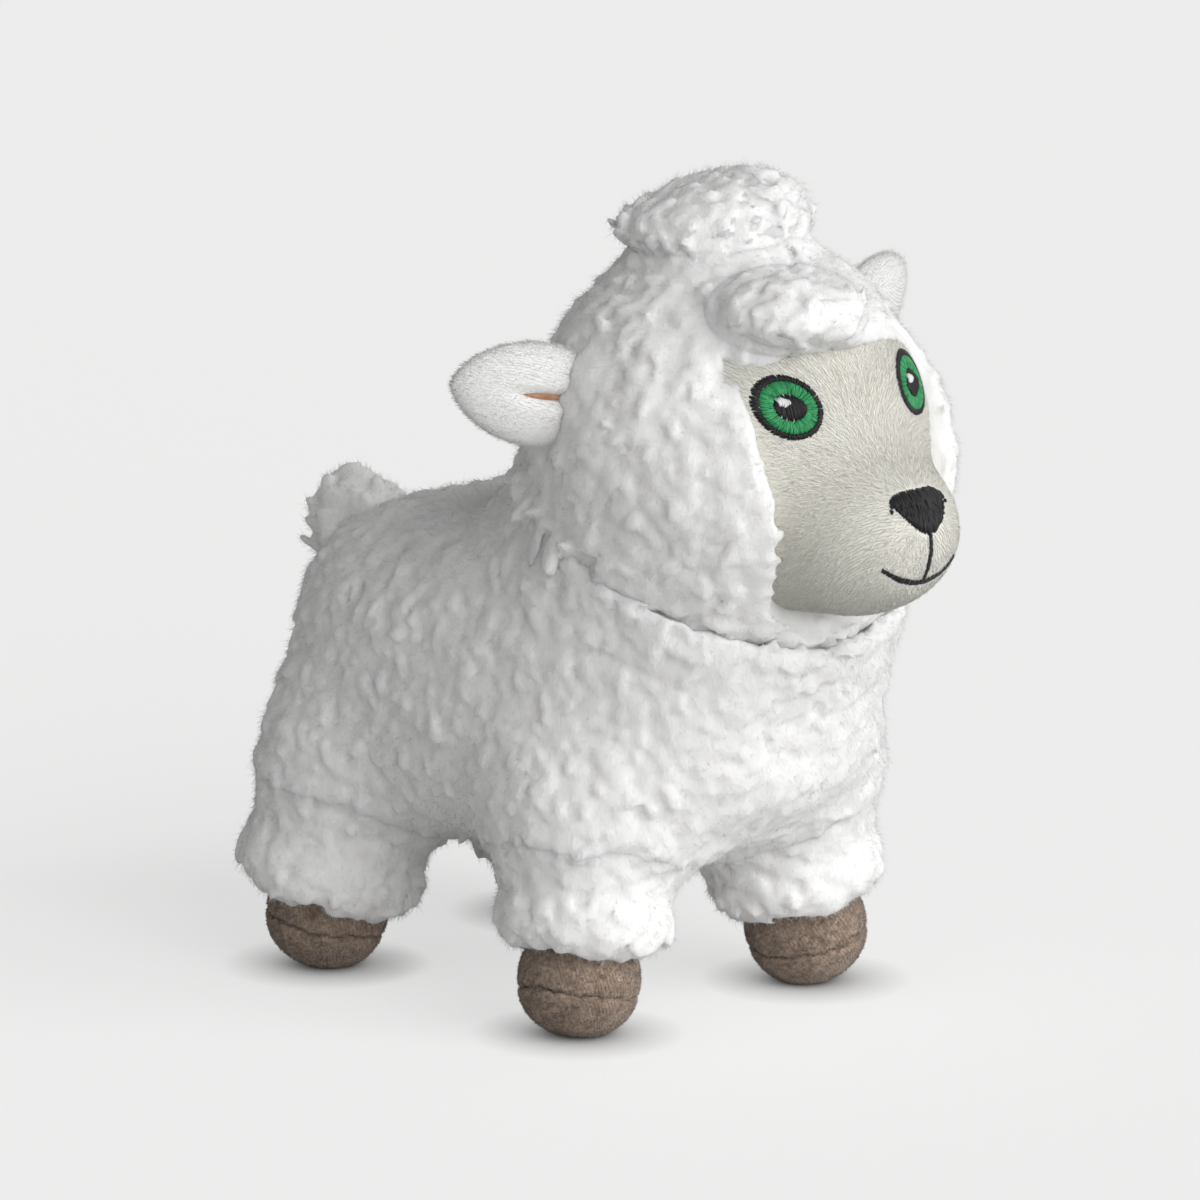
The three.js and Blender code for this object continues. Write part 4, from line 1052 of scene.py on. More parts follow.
forelock_ways = directions_about((1, 0, 0), *FORELOCK_ROWS)
forelock_grid = forelock_middle + forelock_ways * (FORELOCK_HALF - FORELOCK_INSET)


def forelock_lean(spots):
    """Locks of the forelock sweep out to both sides and up."""
    ahead, up = np.broadcast_to(FORELOCK_SWEEP, (len(spots), 2)).T
    return np.stack([FORELOCK_PARTED * spots[:, 0], ahead, up], axis=-1)


forelock_random = np.random.default_rng(50)
forelock_layers = fleece_layers(
    forelock_grid, TUFT_SPACING, FORELOCK_LOCK, TUFT_CLUMPS, forelock_lean, FORELOCK_STRAY, everywhere,
    forelock_random,
)

topknot_low, topknot_high = box_of("topknot_fleece")
topknot_ways = directions_about((0, 0, 1), *TOPKNOT_ROWS)
topknot_grid = (topknot_low + topknot_high) / 2
topknot_grid = topknot_grid + topknot_ways * ((topknot_high - topknot_low) / 2 - TOPKNOT_INSET)
topknot_offset = topknot_grid - topknot_grid.mean(axis=(0, 1))
topknot_over = topknot_offset @ TOPKNOT_SWEPT
topknot_grid[..., 2] += TOPKNOT_RISE * topknot_over - TOPKNOT_SUNK
topknot_grid[..., 2] += topknot_offset[..., 2] * TOPKNOT_WEDGE * topknot_over / topknot_over.max()


def topknot_lean(spots):
    """Locks of the topknot sweep round and up from its root."""
    return unit(spots - topknot_root) + TOPKNOT_SWEEP


topknot_random = np.random.default_rng(51)
topknot_layers = fleece_layers(
    topknot_grid, TUFT_SPACING, TOPKNOT_LOCK, TUFT_CLUMPS, topknot_lean, TOPKNOT_STRAY, everywhere,
    topknot_random,
)
topknot_middle = topknot_grid.mean(axis=(0, 1))
topknot_half = (topknot_grid.max(axis=(0, 1)) - topknot_grid.min(axis=(0, 1))) / 2


def forelock_gap(places):
    """How far places lie outside the forelock's part of the skin."""
    return ellipsoid_distance(places, forelock_middle, FORELOCK_HALF + FORELOCK_MARGIN)


def topknot_gap(places):
    """How far places lie outside the topknot's part of the skin."""
    return ellipsoid_distance(places, topknot_middle, topknot_half + TOPKNOT_MARGIN)


def nearest_tuft(places):
    """How far places lie outside the nearer of the tufts."""
    return np.minimum(forelock_gap(places), topknot_gap(places))


def hood_bare(spots):
    """Whether a spot is on the hood's own skin: seen, and not under a tuft."""
    return hood_shown(spots) & (nearest_tuft(spots) > 0)


head_skin = melted([*hood_layers, fringe, *forelock_layers, *topknot_layers])
tuft_ends = np.array([forelock_middle, topknot_root])
tuft_deep = np.array([head_middle, head_middle])
crown = cut_skin(head_skin, -nearest_tuft(head_skin[0]), tuft_ends, tuft_deep)
hood_parts = fuzzy(crown, hood_lean, hood_bare, hood_random)
hood_nodes = ("hood_left_fleece", "hood_right_fleece", "head_stuffing")
hood_piece = add_piece("hood_cover", hood_parts, fleece, "head", hood_nodes)
tufts = (
    ("forelock", "head", forelock_gap, forelock_lean, forelock_random),
    ("topknot", "topknot", topknot_gap, topknot_lean, topknot_random),
)
for number, (tuft_name, body, gap, lean, random) in enumerate(tufts):
    ends, deep = tuft_ends[number : number + 1], tuft_deep[number : number + 1]
    tuft_skin = cut_skin(head_skin, gap(head_skin[0]), ends, deep)
    tuft_parts = fuzzy(tuft_skin, lean, lambda spots: gap(spots) < 0, random)
    tuft_piece = add_piece(f"{tuft_name}_tuft", tuft_parts, fleece, body, (f"{tuft_name}_fleece",))

# Neck
# A wad of loose stuffing under the hood, on which the head turns.
# It is hidden between hood and body, and pressed flat square to the neck.
NECK_HALF = 18.0
NECK_BELOW = 1.4  # of its middle, under the hood's ball
NECK_FLAT = 0.95  # share by which the wad is pressed flat
NECK_RINGS, NECK_SIDES = 30, 48
FIBRE_ROOT = (0.7, 0.69, 0.66)
FIBRE_TIP = (0.86, 0.85, 0.83)

loose_fibre = pile_material(
    "loose_fibre", FIBRE_ROOT, FIBRE_TIP, coarse=0.01, fine=0.001, contrast=0.1, bump=0.0005, sheen=0.1,
)
neck_middle = head_middle - neck_turn * (hood_radius + NECK_BELOW)
neck_grid = neck_middle + directions_about(neck_turn, NECK_RINGS, NECK_SIDES) * NECK_HALF
neck_grid = neck_grid - neck_turn * ((neck_grid - neck_middle) @ neck_turn)[..., None] * NECK_FLAT
neck_piece = add_piece(
    "neck_wad", [closed_shell(neck_grid, 0.5)], loose_fibre, "neck", ("neck_stuffing",),
)

# Face
# Short cream plush, shaped over a round skull and a blunt muzzle, with its pile brushed away from the nose.
# The surface is where a soft union of two ellipsoids is zero, met by rays from a line inside the head.
SKULL_HALF = np.array([42.0, 43.0, 41.0])
MUZZLE_HALF = np.array([23.0, 27.0, 20.0])
MUZZLE_PLACE = np.array([0, -34.0, -15.0])  # from the head's middle
UNION_SOFTNESS = 9.0
FACE_REACH = 90.0
CROWN_FLAT = 31.0  # above the head's middle, from where the skull is pressed flat under the hood
CROWN_PRESSED = 0.7
BACK_ROWS, LINE_ROWS, FRONT_ROWS = 36, 45, 60  # of rings behind, beside and before the line inside the head
FACE_POLES = (3.1, 0.01)  # angles of the first ring and the last to the line
FACE_SIDES = 180
LINE_LENGTH = 1.15  # of the line, to the muzzle's middle and beyond
INTO_FACE = np.array([0, 1.0, 0])
# Face colours: the darker root colour is painted shade deep in the pile, shown at the roots of the pile
# fibres
FACE_ROOT_PAINTED_SHADE = (0.76, 0.745, 0.675)
FACE_TIP = (0.885, 0.87, 0.805)

plush = pile_material(
    "cream_plush", FACE_ROOT_PAINTED_SHADE, FACE_TIP, coarse=0.008, fine=0.0007, contrast=0.08, bump=0.0002, sheen=0.2,
    soft=0.3,
)
muzzle_middle = head_middle + MUZZLE_PLACE


def face_distance(places):
    """How far places lie outside the face: a soft union of the skull's and the muzzle's ellipsoids."""
    skull = ellipsoid_distance(places, head_middle, SKULL_HALF)
    muzzle = ellipsoid_distance(places, muzzle_middle, MUZZLE_HALF)
    return soft_union(skull, muzzle, UNION_SOFTNESS)


def face_front(side, up):
    """The face's surface straight ahead of places given sideways and upwards from the head's middle, met by
    rays from in front."""
    start = np.stack([side, np.full(np.shape(side), -FACE_REACH), up], axis=-1) + head_middle
    rays = np.broadcast_to(INTO_FACE, start.shape)
    return start + crossing(start, rays, FACE_REACH, lambda places: -face_distance(places))[..., None] * rays


face_line = unit(MUZZLE_PLACE)
slide = np.concatenate([np.zeros(BACK_ROWS), np.linspace(0, 1, LINE_ROWS + 1)[1:], np.ones(FRONT_ROWS)])
tilt = np.concatenate([
    np.linspace(FACE_POLES[0], np.pi / 2, BACK_ROWS), np.full(LINE_ROWS, np.pi / 2),
    np.linspace(np.pi / 2, FACE_POLES[1], FRONT_ROWS + 1)[1:],
])
face_turn = 2 * np.pi * np.arange(FACE_SIDES) / FACE_SIDES
face_ways = across(face_line)
face_ring = face_ways[0] * np.cos(face_turn)[:, None] + face_ways[1] * np.sin(face_turn)[:, None]
face_out = np.cos(tilt)[:, None, None] * face_line + np.sin(tilt)[:, None, None] * face_ring
face_from = head_middle + slide[:, None, None] * (MUZZLE_PLACE * LINE_LENGTH)
face_grid = face_from + face_out * crossing(face_from, face_out, FACE_REACH, face_distance)[..., None]
face_grid[..., 2] -= CROWN_PRESSED * np.maximum(face_grid[..., 2] - head_middle[2] - CROWN_FLAT, 0)

# Embroidery
# A plain rounded-triangle nose, a shallow smile on a short stem, and two round eyes, each with a black rim,
# a green iris, a black pupil and a white glint: satin stitches of glossy thread, sewn through the plush.
EYE_SIDE = 19.0  # from the middle
EYE_UP = 15.0  # above the head's middle
EYE_RADIUS = 7.0
EYE_RIM = 1.3
PUPIL_RADIUS = 3.2
GLINT_RADIUS = 1.2
GLINT_OFFSET = 1.3
NOSE_HALF = 8.5
NOSE_TALL = 10.0
NOSE_UP = -8.0
MOUTH_HALF = 11.0
MOUTH_UP = -20.0
MOUTH_DROP = 4.0
MOUTH_WIDTH = 1.5
EYE_TUCK = 0.2  # of the rim under the iris, and of the pile under the rim
IRIS_ROWS = ((-0.4, 0.0, 0.6), (0.7, 0.1, 0.75))  # beyond the pupil, beyond the iris, and lift
NOSE_LIFTS = (0.55, 0.85, 0.8)  # of the long stitches, and of the short ones above and below
NOSE_MIDDLE = (0.5, 0.9)  # of the place where the short ones meet: its rise, and how far it strays
NOSE_TOP_SQUARE, NOSE_FOOT_SHARP, NOSE_FOOT_ROUND = 4, 1.8, 0.8  # powers that shape its outline
NOSE_LEAST = 0.6  # length of a stitch
MOUTH_TAPER = 0.45
MOUTH_LIFT, STEM_LIFT, RIM_LIFT, PUPIL_LIFT, GLINT_LIFT = 0.55, 0.5, 0.6, 0.85, 1.25
STEM_WIDTH = 1.0
STEM_OVERLAP = 0.5  # of the stem under the nose
THREAD = 0.52
THREAD_STEP = 0.34
THREAD_TAPER = np.array([0.6, 1, 1, 1, 1, 0.6])
THREAD_SIDES = 4
STITCH_STRAY = 0.08
STITCH_DIP = 0.25  # of its ends, under the plush
STITCH_ARCH = 0.4  # power of the sine that it rises by
BLACK_DEEP, BLACK_SHEEN = (0.006, 0.006, 0.007), (0.014, 0.014, 0.016)
GREEN_DEEP, GREEN_SHEEN = (0.012, 0.17, 0.055), (0.05, 0.38, 0.14)
WHITE_DEEP, WHITE_SHEEN = (0.66, 0.66, 0.68), (0.88, 0.88, 0.90)


def stitches(starts, ends, lift, random):
    """Satin stitches on the face, from start to end places given sideways and upwards: five steps of a
    four-sided thread that dips under the plush at both ends and arches over it by the lift."""
    count, rows = len(starts), len(THREAD_TAPER)
    starts = starts + STITCH_STRAY * random.normal(size=starts.shape)
    ends = ends + STITCH_STRAY * random.normal(size=ends.shape)
    share = np.linspace(0, 1, rows)
    flat = starts[:, None] + (ends - starts)[:, None] * share[:, None]
    middle = face_front(flat[..., 0], flat[..., 1])
    arch = lift * np.sin(np.pi * share) ** STITCH_ARCH - STITCH_DIP
    middle = middle - INTO_FACE * arch[:, None]
    along = unit(np.gradient(middle, axis=1))
    beside = unit(np.cross(along, -INTO_FACE))
    out = np.cross(beside, along)
    turn = 2 * np.pi * (np.arange(THREAD_SIDES) + 0.5) / THREAD_SIDES
    ring = beside[:, :, None] * np.cos(turn)[:, None] + out[:, :, None] * np.sin(turn)[:, None]
    rings = middle[:, :, None] + ring * (0.5 * THREAD * THREAD_TAPER[:, None, None])
    poles = np.stack([middle[:, 0], middle[:, -1]], axis=1)
    shapes = np.concatenate([rings.reshape(count, rows * THREAD_SIDES, 3), poles], axis=1)
    return repeated(shapes, tube_faces(rows, THREAD_SIDES), random.random((count, 1)))


def flat_places(side, up):
    """Places on the face, given sideways and upwards, as rows."""
    return np.stack([side, np.broadcast_to(up, side.shape)], axis=1)


def ring_stitches(middle, inner, outer, lift, random):
    """Stitches that run outwards between two circles, a thread apart at the middle of their length."""
    count = int(np.pi * (inner + outer) / THREAD_STEP)
    turn = (2 * np.pi * np.arange(count) / count)[:, None]
    way = np.concatenate([np.cos(turn), np.sin(turn)], axis=1)
    return stitches(middle + inner * way, middle + outer * way, lift, random)


def disc_stitches(middle, radius, lift, random):
    """Upright stitches that fill a circle, a thread apart."""
    side = np.arange(-radius + THREAD_STEP / 2, radius, THREAD_STEP)
    half = np.sqrt(np.maximum(radius**2 - side**2, 0.04))
    return stitches(middle + flat_places(side, -half), middle + flat_places(side, half), lift, random)


def thread_material(name, deep, sheen):
    """Glossy thread whose stitches differ a little in tone."""
    return pile_material(
        name, deep, sheen, coarse=0.003, fine=0.0002, contrast=0.1, bump=0.00005, gloss=0.3, roughness=0.42,
    )


black_thread = thread_material("black_thread", BLACK_DEEP, BLACK_SHEEN)
green_thread = thread_material("green_thread", GREEN_DEEP, GREEN_SHEEN)
white_thread = thread_material("white_thread", WHITE_DEEP, WHITE_SHEEN)

nose_side = np.arange(-NOSE_HALF + THREAD_STEP / 2, NOSE_HALF, THREAD_STEP)
nose_share = np.abs(nose_side) / NOSE_HALF
nose_top = NOSE_UP + NOSE_TALL / 2 * (1 - nose_share**NOSE_TOP_SQUARE) ** 0.5
nose_foot = NOSE_UP + NOSE_TALL / 2 - NOSE_TALL * (1 - nose_share**NOSE_FOOT_SHARP) ** NOSE_FOOT_ROUND
nose_foot = np.minimum(nose_foot, nose_top - NOSE_LEAST)
nose_random = np.random.default_rng(60)
nose_mid = NOSE_UP + NOSE_MIDDLE[0] + NOSE_MIDDLE[1] * nose_random.normal(size=len(nose_side))
nose_mid = np.clip(nose_mid, nose_foot + NOSE_LEAST / 2, nose_top - NOSE_LEAST / 2)
nose_rows = ((nose_top, nose_foot), (nose_top, nose_mid), (nose_mid, nose_foot))
nose_parts = [
    stitches(flat_places(nose_side, upper), flat_places(nose_side, lower), lift, nose_random)
    for (upper, lower), lift in zip(nose_rows, NOSE_LIFTS)
]
add_piece("nose_stitches", nose_parts, black_thread, "head", ("nose_embroidery",))

mouth_random = np.random.default_rng(61)
mouth_side = np.arange(-MOUTH_HALF, MOUTH_HALF, THREAD_STEP)
mouth_line = MOUTH_UP - MOUTH_DROP * (1 - (mouth_side / MOUTH_HALF) ** 2)
mouth_half = 0.5 * MOUTH_WIDTH * (1 - MOUTH_TAPER * np.abs(mouth_side / MOUTH_HALF) ** 3)
mouth_low = flat_places(mouth_side, mouth_line - mouth_half)
mouth_high = flat_places(mouth_side, mouth_line + mouth_half)
stem_up = np.arange(MOUTH_UP - MOUTH_DROP, NOSE_UP - NOSE_TALL / 2 + STEM_OVERLAP, THREAD_STEP)
stem_half = np.full(len(stem_up), STEM_WIDTH / 2)
mouth_parts = [
    stitches(mouth_low, mouth_high, MOUTH_LIFT, mouth_random),
    stitches(flat_places(-stem_half, stem_up), flat_places(stem_half, stem_up), STEM_LIFT, mouth_random),
]
add_piece("mouth_stitches", mouth_parts, black_thread, "head", ("mouth_embroidery",))

for number, (side_name, sign) in enumerate((("left", 1), ("right", -1))):
    eye_random = np.random.default_rng(62 + number)
    eye = np.array([sign * EYE_SIDE, EYE_UP])
    iris_radius = EYE_RADIUS - EYE_RIM
    glint_place = eye + np.array([-GLINT_OFFSET, GLINT_OFFSET])
    rim = [ring_stitches(eye, iris_radius - EYE_TUCK, EYE_RADIUS, RIM_LIFT, eye_random)]
    iris = [
        ring_stitches(eye, PUPIL_RADIUS + inner, iris_radius + outer, lift, eye_random)
        for inner, outer, lift in IRIS_ROWS
    ]
    pupil = [disc_stitches(eye, PUPIL_RADIUS, PUPIL_LIFT, eye_random)]
    glint = [disc_stitches(glint_place, GLINT_RADIUS, GLINT_LIFT, eye_random)]
    eye_layers = (
        ("rim", black_thread, "black_thread", rim), ("iris", green_thread, "green_thread", iris),
        ("pupil", black_thread, "black_thread", pupil), ("glint", white_thread, "white_thread", glint),
    )
    for layer, material, slot, parts in eye_layers:
        node = f"{side_name}_eye_{layer}"
        add_piece(f"{node}_stitches", parts, material, "head", (node,))


PILE_SPACING = 0.5
PILE_LENGTH = 1.15
PILE_THICKNESS = 0.2
PILE_UNDER = 6.0  # how far it goes on under the hood
PILE_BRUSHED = np.array([0, 0.5, -0.35])  # backwards and down, besides away from the nose
PILE_STRAY = 0.22
PILE_STANDING = 0.25  # share of the normal in a fibre's way
PILE_TONES = 0.6  # spread of their tips


def face_bare(spots):
    """Whether a spot on the face has pile that shows: in the window, and not under the embroidery."""
    side, up = spots[:, 0] - head_middle[0], spots[:, 2] - head_middle[2]
    front = spots[:, 1] < head_middle[1]
    eyes = np.hypot(np.abs(side) - EYE_SIDE, up - EYE_UP) < EYE_RADIUS - EYE_TUCK
    nose = (up < np.interp(side, nose_side, nose_top)) & (up > np.interp(side, nose_side, nose_foot))
    nose &= np.abs(side) < NOSE_HALF
    smile = MOUTH_UP - MOUTH_DROP * (1 - (side / MOUTH_HALF) ** 2)
    mouth = (np.abs(side) < MOUTH_HALF) & (np.abs(up - smile) < 0.5 * MOUTH_WIDTH)
    return front & (window_inside(spots) > -PILE_UNDER) & ~eyes & ~nose & ~mouth


face_random = np.random.default_rng(70)
face_spots, face_normals = scatter(face_grid, grid_normals(face_grid), PILE_SPACING)
face_kept = face_bare(face_spots)
face_spots, face_normals = face_spots[face_kept], face_normals[face_kept]
nose_tip = face_front(np.zeros(1), np.full(1, NOSE_UP))[0]
brushed = laid(face_normals, unit(face_spots - nose_tip) + PILE_BRUSHED, PILE_STRAY, face_random)
pile_ways = unit(face_normals * PILE_STANDING + brushed)
pile = nap_fibres(face_spots, pile_ways, PILE_LENGTH, PILE_THICKNESS, face_random)
pile_tips = PILE_TONES * (np.repeat(face_random.random(len(face_spots)), 4) - 0.5)
pile = (pile[0], pile[1], np.clip(pile[2] + pile_tips, 0, 1))
face_piece = add_piece(
    "face_cover", [closed_shell(face_grid, 0.55), pile], plush, "head", ("face_plush",),
)

# Ears
# Each ear is a rounded leaf of short white plush, stuffed thin and pleated at its root, where a strip of
# tan lining shows in the pleat. The leaf is a swollen outline, bent back towards its tip.
EAR_WAYS = {"left": np.array([0.90, -0.05, 0.42]), "right": np.array([-0.969, 0.206, 0.139])}
EAR_LENGTH = 29.2
EAR_WIDEST = 0.32
EAR_HALF_WIDTH = 11.8
EAR_HALF_THICK = 4.2
PLEAT_DEPTH = 3.4
PLEAT_HALF = 1.5
PLEAT_END = 0.62
EAR_BEND = 5.0  # backwards, at the tip
EAR_DROOP = -1.5
EAR_SUNK = 3.0  # of the root, in the hood
EAR_TIP_ROUND, EAR_ROOT_NARROW, EAR_PUFF, PLEAT_FADE = 0.62, 0.15, 0.7, 0.6  # powers and share of its outline
EAR_POLE = 0.02  # of the rings from both ends, in radians
EAR_ROWS, EAR_SIDES = 60, 96
EAR_SPACING = 0.6
EAR_STRAY = 0.3
EAR_STANDING = 0.6
EAR_NAP = (1.2, 0.18)  # length and thickness
STRIP_SPAN = (0.12, 0.5)  # of the ear's length, in which the lining shows
STRIP_HALF = 0.9
STRIP_WAVE = (0.1, 0.42)  # start and length of the arch that its width follows
STRIP_OUT = (0.35, 0.4)  # share of the ear's thickness at the root, and its rise to the tip
STRIP_ROWS, STRIP_SIDES = 24, 16
STRIP_FLECK = 1.2
# Ear colours: the darker root colour is painted shade deep in the nap, shown at the roots of the nap fibres
EAR_WHITE_ROOT_PAINTED_SHADE = (0.76, 0.755, 0.74)
EAR_WHITE_TIP = (0.90, 0.895, 0.885)
LINING_DEEP = (0.30, 0.14, 0.07)
LINING_PALE = (0.62, 0.36, 0.22)

ear_plush = pile_material(
    "white_plush", EAR_WHITE_ROOT_PAINTED_SHADE, EAR_WHITE_TIP, coarse=0.007, fine=0.0006, contrast=0.06, bump=0.0002,
    sheen=0.35, soft=0.15,
)
ear_lining = pile_material(
    "tan_lining", LINING_DEEP, LINING_PALE, coarse=0.004, fine=0.0005, contrast=0.3, bump=0.0002, sheen=0.3,
)


def ear_frame(side_name, sign):
    """Root of an ear, and its ways outwards, forwards and up."""
    root, fold = joint_of(f"{side_name}_ear_fold")
    out = unit(EAR_WAYS[side_name])
    ahead = unit(np.cross(out, fold)) * -sign
    ahead = ahead * -np.sign(ahead[1])
    return root, out, ahead, fold


def ear_surface(share, turn, root, out, ahead, up):
    """The leaf as rings along its length: each an ellipse, wide across and thin ahead, whose width is a
    skewed arch. The front is drawn in along the pleat, and the leaf curves back towards its tip."""
    beyond = np.clip((share - EAR_WIDEST) / (1 - EAR_WIDEST), 0, 1)
    before = np.clip((EAR_WIDEST - share) / EAR_WIDEST, 0, 1)
    arch = (1 - beyond**2) ** EAR_TIP_ROUND * (1 - EAR_ROOT_NARROW * before**2)
    wide = EAR_HALF_WIDTH * arch
    thick = EAR_HALF_THICK * arch**EAR_PUFF
    across_ear = wide[:, None] * np.cos(turn)
    forward = thick[:, None] * np.sin(turn)
    fade = np.clip(1 - share / PLEAT_END, 0, 1) ** PLEAT_FADE
    pleat = PLEAT_DEPTH * fade[:, None] * np.exp(-((across_ear / PLEAT_HALF) ** 2))
    forward = forward - np.where(np.sin(turn) > 0, pleat, 0) - (EAR_BEND * share**2)[:, None]
    across_ear = across_ear - EAR_DROOP * share[:, None]
    along = np.broadcast_to((EAR_LENGTH * share)[:, None], forward.shape) - EAR_SUNK
    return root + along[..., None] * out + forward[..., None] * ahead + across_ear[..., None] * up


def lining_strip(root, out, ahead, up):
    """The lining in the pleat as rings along it: circles whose size follows an arch, on the ear's curve."""
    share = np.linspace(*STRIP_SPAN, STRIP_ROWS)
    turn = 2 * np.pi * np.arange(STRIP_SIDES) / STRIP_SIDES
    half = (STRIP_HALF * np.sin(np.pi * (share - STRIP_WAVE[0]) / STRIP_WAVE[1]) ** 0.5)[:, None]
    forward = EAR_HALF_THICK * (STRIP_OUT[0] + STRIP_OUT[1] * share) - EAR_BEND * share**2
    forward = forward[:, None] + half * np.sin(turn)
    upward = half * np.cos(turn) - EAR_DROOP * share[:, None]
    along = (EAR_LENGTH * share - EAR_SUNK)[:, None, None]
    return root + along * out + forward[..., None] * ahead + upward[..., None] * up


ear_share = np.sin(np.linspace(EAR_POLE, np.pi / 2 - EAR_POLE, EAR_ROWS)) ** 2
ear_turn = 2 * np.pi * np.arange(EAR_SIDES) / EAR_SIDES
for number, (side_name, sign) in enumerate((("left", 1), ("right", -1))):
    ear_random = np.random.default_rng(80 + number)
    root, out, ahead, up = ear_frame(side_name, sign)
    ear_grid = ear_surface(ear_share, ear_turn, root, out, ahead, up)
    spots, normals = scatter(ear_grid, grid_normals(ear_grid), EAR_SPACING)
    brushed = laid(normals, out, EAR_STRAY, ear_random)
    nap = nap_fibres(spots, unit(normals * EAR_STANDING + brushed), *EAR_NAP, ear_random)
    ear_piece = add_piece(
        f"{side_name}_ear_leaf", [closed_shell(ear_grid, 0.7), nap], ear_plush, f"{side_name}_ear",
        (f"{side_name}_ear_back",),
    )
    strip = lining_strip(root, out, ahead, up)
    strip_tip = 0.5 + 0.4 * soft_noise(strip, STRIP_FLECK)
    add_piece(
        f"{side_name}_ear_lining_strip", [closed_shell(strip, strip_tip)], ear_lining, f"{side_name}_ear",
        (f"{side_name}_ear_lining",),
    )

# Studio
# A plain pale floor, a soft key lamp from the right of the picture and an even sky. The background is the
# floor's own pale grey, with a shadow painted into it close under the hooves, and the camera stands four
# metres off at the photograph's viewing angle.
BACKGROUND = 0.838  # brightness of the sky that the camera sees
FLOOR_COLOUR = (0.68, 0.68, 0.675)
FLOOR_LIGHT = (1.245, 1.245, 1.242)
FLOOR_GLOW = 0.5  # share of the floor that the camera sees as glow, without the lamp's shadows but with the painted shadow under the hooves
PAINTED_SHADOW_REACH = 0.014  # of the shadow painted into the floor's glow close under the hooves, in metres
SKY_STRENGTH = 0.265
KEY_STRENGTH = 3.5
KEY_ANGLE = 75.0
KEY_FROM = Vector((0.05, -0.93, 0.30))
CAMERA_AZIMUTH = -43.0
CAMERA_ELEVATION = 13.5
CAMERA_DISTANCE = 4.0
CAMERA_AIM = Vector((18.7, 25.4, 83.5)) * MM
FRAME_WIDTH = 277.0 * MM
FLOOR_HALF = 9.0  # in metres
PAINTED_SHADOW_SAMPLES = 8


def background_rays(nodes, links):
    """A socket that is 1 for rays that show the background, seen straight, in a gloss or through glass."""
    path = nodes.new("ShaderNodeLightPath")
    either = nodes.new("ShaderNodeMath")
    either.operation = "MAXIMUM"
    links.new(path.outputs["Is Camera Ray"], either.inputs[0])
    links.new(path.outputs["Is Glossy Ray"], either.inputs[1])
    any_of = nodes.new("ShaderNodeMath")
    any_of.operation = "MAXIMUM"
    links.new(either.outputs[0], any_of.inputs[0])
    links.new(path.outputs["Is Transmission Ray"], any_of.inputs[1])
    return any_of.outputs[0]


floor_mesh = bpy.data.meshes.new("floor")
floor_corners = [(FLOOR_HALF * x, FLOOR_HALF * y, 0) for x, y in ((-1, -1), (1, -1), (1, 1), (-1, 1))]
floor_mesh.from_pydata(floor_corners, [], [(0, 1, 2, 3)])
floor = bpy.data.objects.new("floor", floor_mesh)
bpy.context.scene.collection.objects.link(floor)
floor_paint = bpy.data.materials.new("pale_floor")
floor_paint.use_nodes = True
floor_nodes, floor_links = floor_paint.node_tree.nodes, floor_paint.node_tree.links
floor_shader = floor_nodes["Principled BSDF"]
floor_shader.inputs["Base Color"].default_value = (*FLOOR_COLOUR, 1)
floor_shader.inputs["Roughness"].default_value = 1.0
floor_shader.inputs["Specular IOR Level"].default_value = 0.0
floor_rays = background_rays(floor_nodes, floor_links)
floor_share = floor_nodes.new("ShaderNodeMath")
floor_share.operation = "MULTIPLY"
floor_share.inputs[1].default_value = FLOOR_GLOW
floor_glow = floor_nodes.new("ShaderNodeEmission")
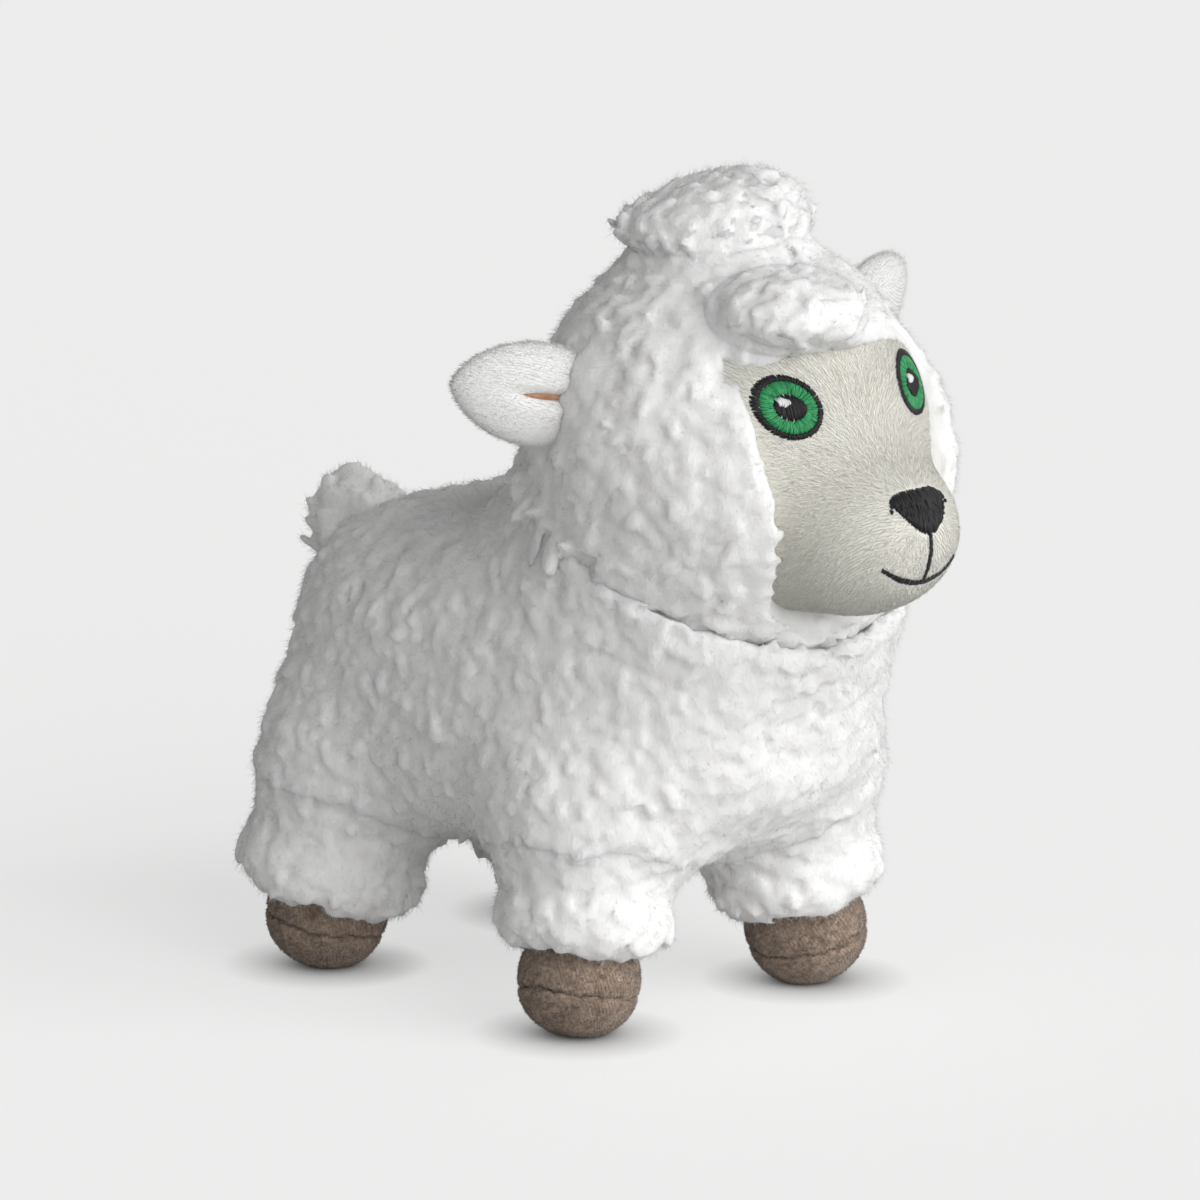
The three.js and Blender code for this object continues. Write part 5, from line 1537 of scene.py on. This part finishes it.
# Painted shadow: the glow's colour is darkened by ambient occlusion where the lamb is close, under the hooves
floor_painted_shadow = floor_nodes.new("ShaderNodeAmbientOcclusion")
floor_painted_shadow.samples = PAINTED_SHADOW_SAMPLES
floor_painted_shadow.inputs["Distance"].default_value = PAINTED_SHADOW_REACH
floor_painted_shadow.inputs["Color"].default_value = (*FLOOR_LIGHT, 1)
floor_links.new(floor_painted_shadow.outputs["Color"], floor_glow.inputs["Color"])
floor_seen = floor_nodes.new("ShaderNodeMixShader")
floor_links.new(floor_rays, floor_share.inputs[0])
floor_links.new(floor_share.outputs[0], floor_seen.inputs["Fac"])
floor_links.new(floor_shader.outputs["BSDF"], floor_seen.inputs[1])
floor_links.new(floor_glow.outputs["Emission"], floor_seen.inputs[2])
floor_links.new(floor_seen.outputs["Shader"], floor_nodes["Material Output"].inputs["Surface"])
floor_mesh.materials.append(floor_paint)

world = bpy.data.worlds.new("studio")
bpy.context.scene.world = world
world.use_nodes = True
sky_nodes, sky_links = world.node_tree.nodes, world.node_tree.links
sky = sky_nodes["Background"]
seen = sky_nodes.new("ShaderNodeMix")
seen.data_type = "FLOAT"
seen.inputs["A"].default_value = SKY_STRENGTH
seen.inputs["B"].default_value = BACKGROUND
sky_links.new(background_rays(sky_nodes, sky_links), seen.inputs["Factor"])
sky_links.new(seen.outputs["Result"], sky.inputs["Strength"])
sky.inputs["Color"].default_value = (1, 1, 1, 1)

key_data = bpy.data.lights.new("key", "SUN")
key_data.energy = KEY_STRENGTH
key_data.angle = np.radians(KEY_ANGLE)
key = bpy.data.objects.new("key", key_data)
key.rotation_euler = KEY_FROM.to_track_quat("Z", "Y").to_euler()
bpy.context.scene.collection.objects.link(key)

azimuth, elevation = np.radians(CAMERA_AZIMUTH), np.radians(CAMERA_ELEVATION)
away = Vector((
    np.sin(azimuth) * np.cos(elevation), -np.cos(azimuth) * np.cos(elevation), np.sin(elevation),
))
camera_data = bpy.data.cameras.new("camera")
camera_data.angle = 2 * np.arctan(FRAME_WIDTH / 2 / CAMERA_DISTANCE)
camera_data.clip_start = 0.05
camera = bpy.data.objects.new("camera", camera_data)
camera.matrix_world = (
    Matrix.Translation(CAMERA_AIM + away * CAMERA_DISTANCE)
    @ away.to_track_quat("Z", "Y").to_matrix().to_4x4()
)
bpy.context.scene.collection.objects.link(camera)
bpy.context.scene.camera = camera
bpy.context.scene.view_settings.view_transform = "Standard"
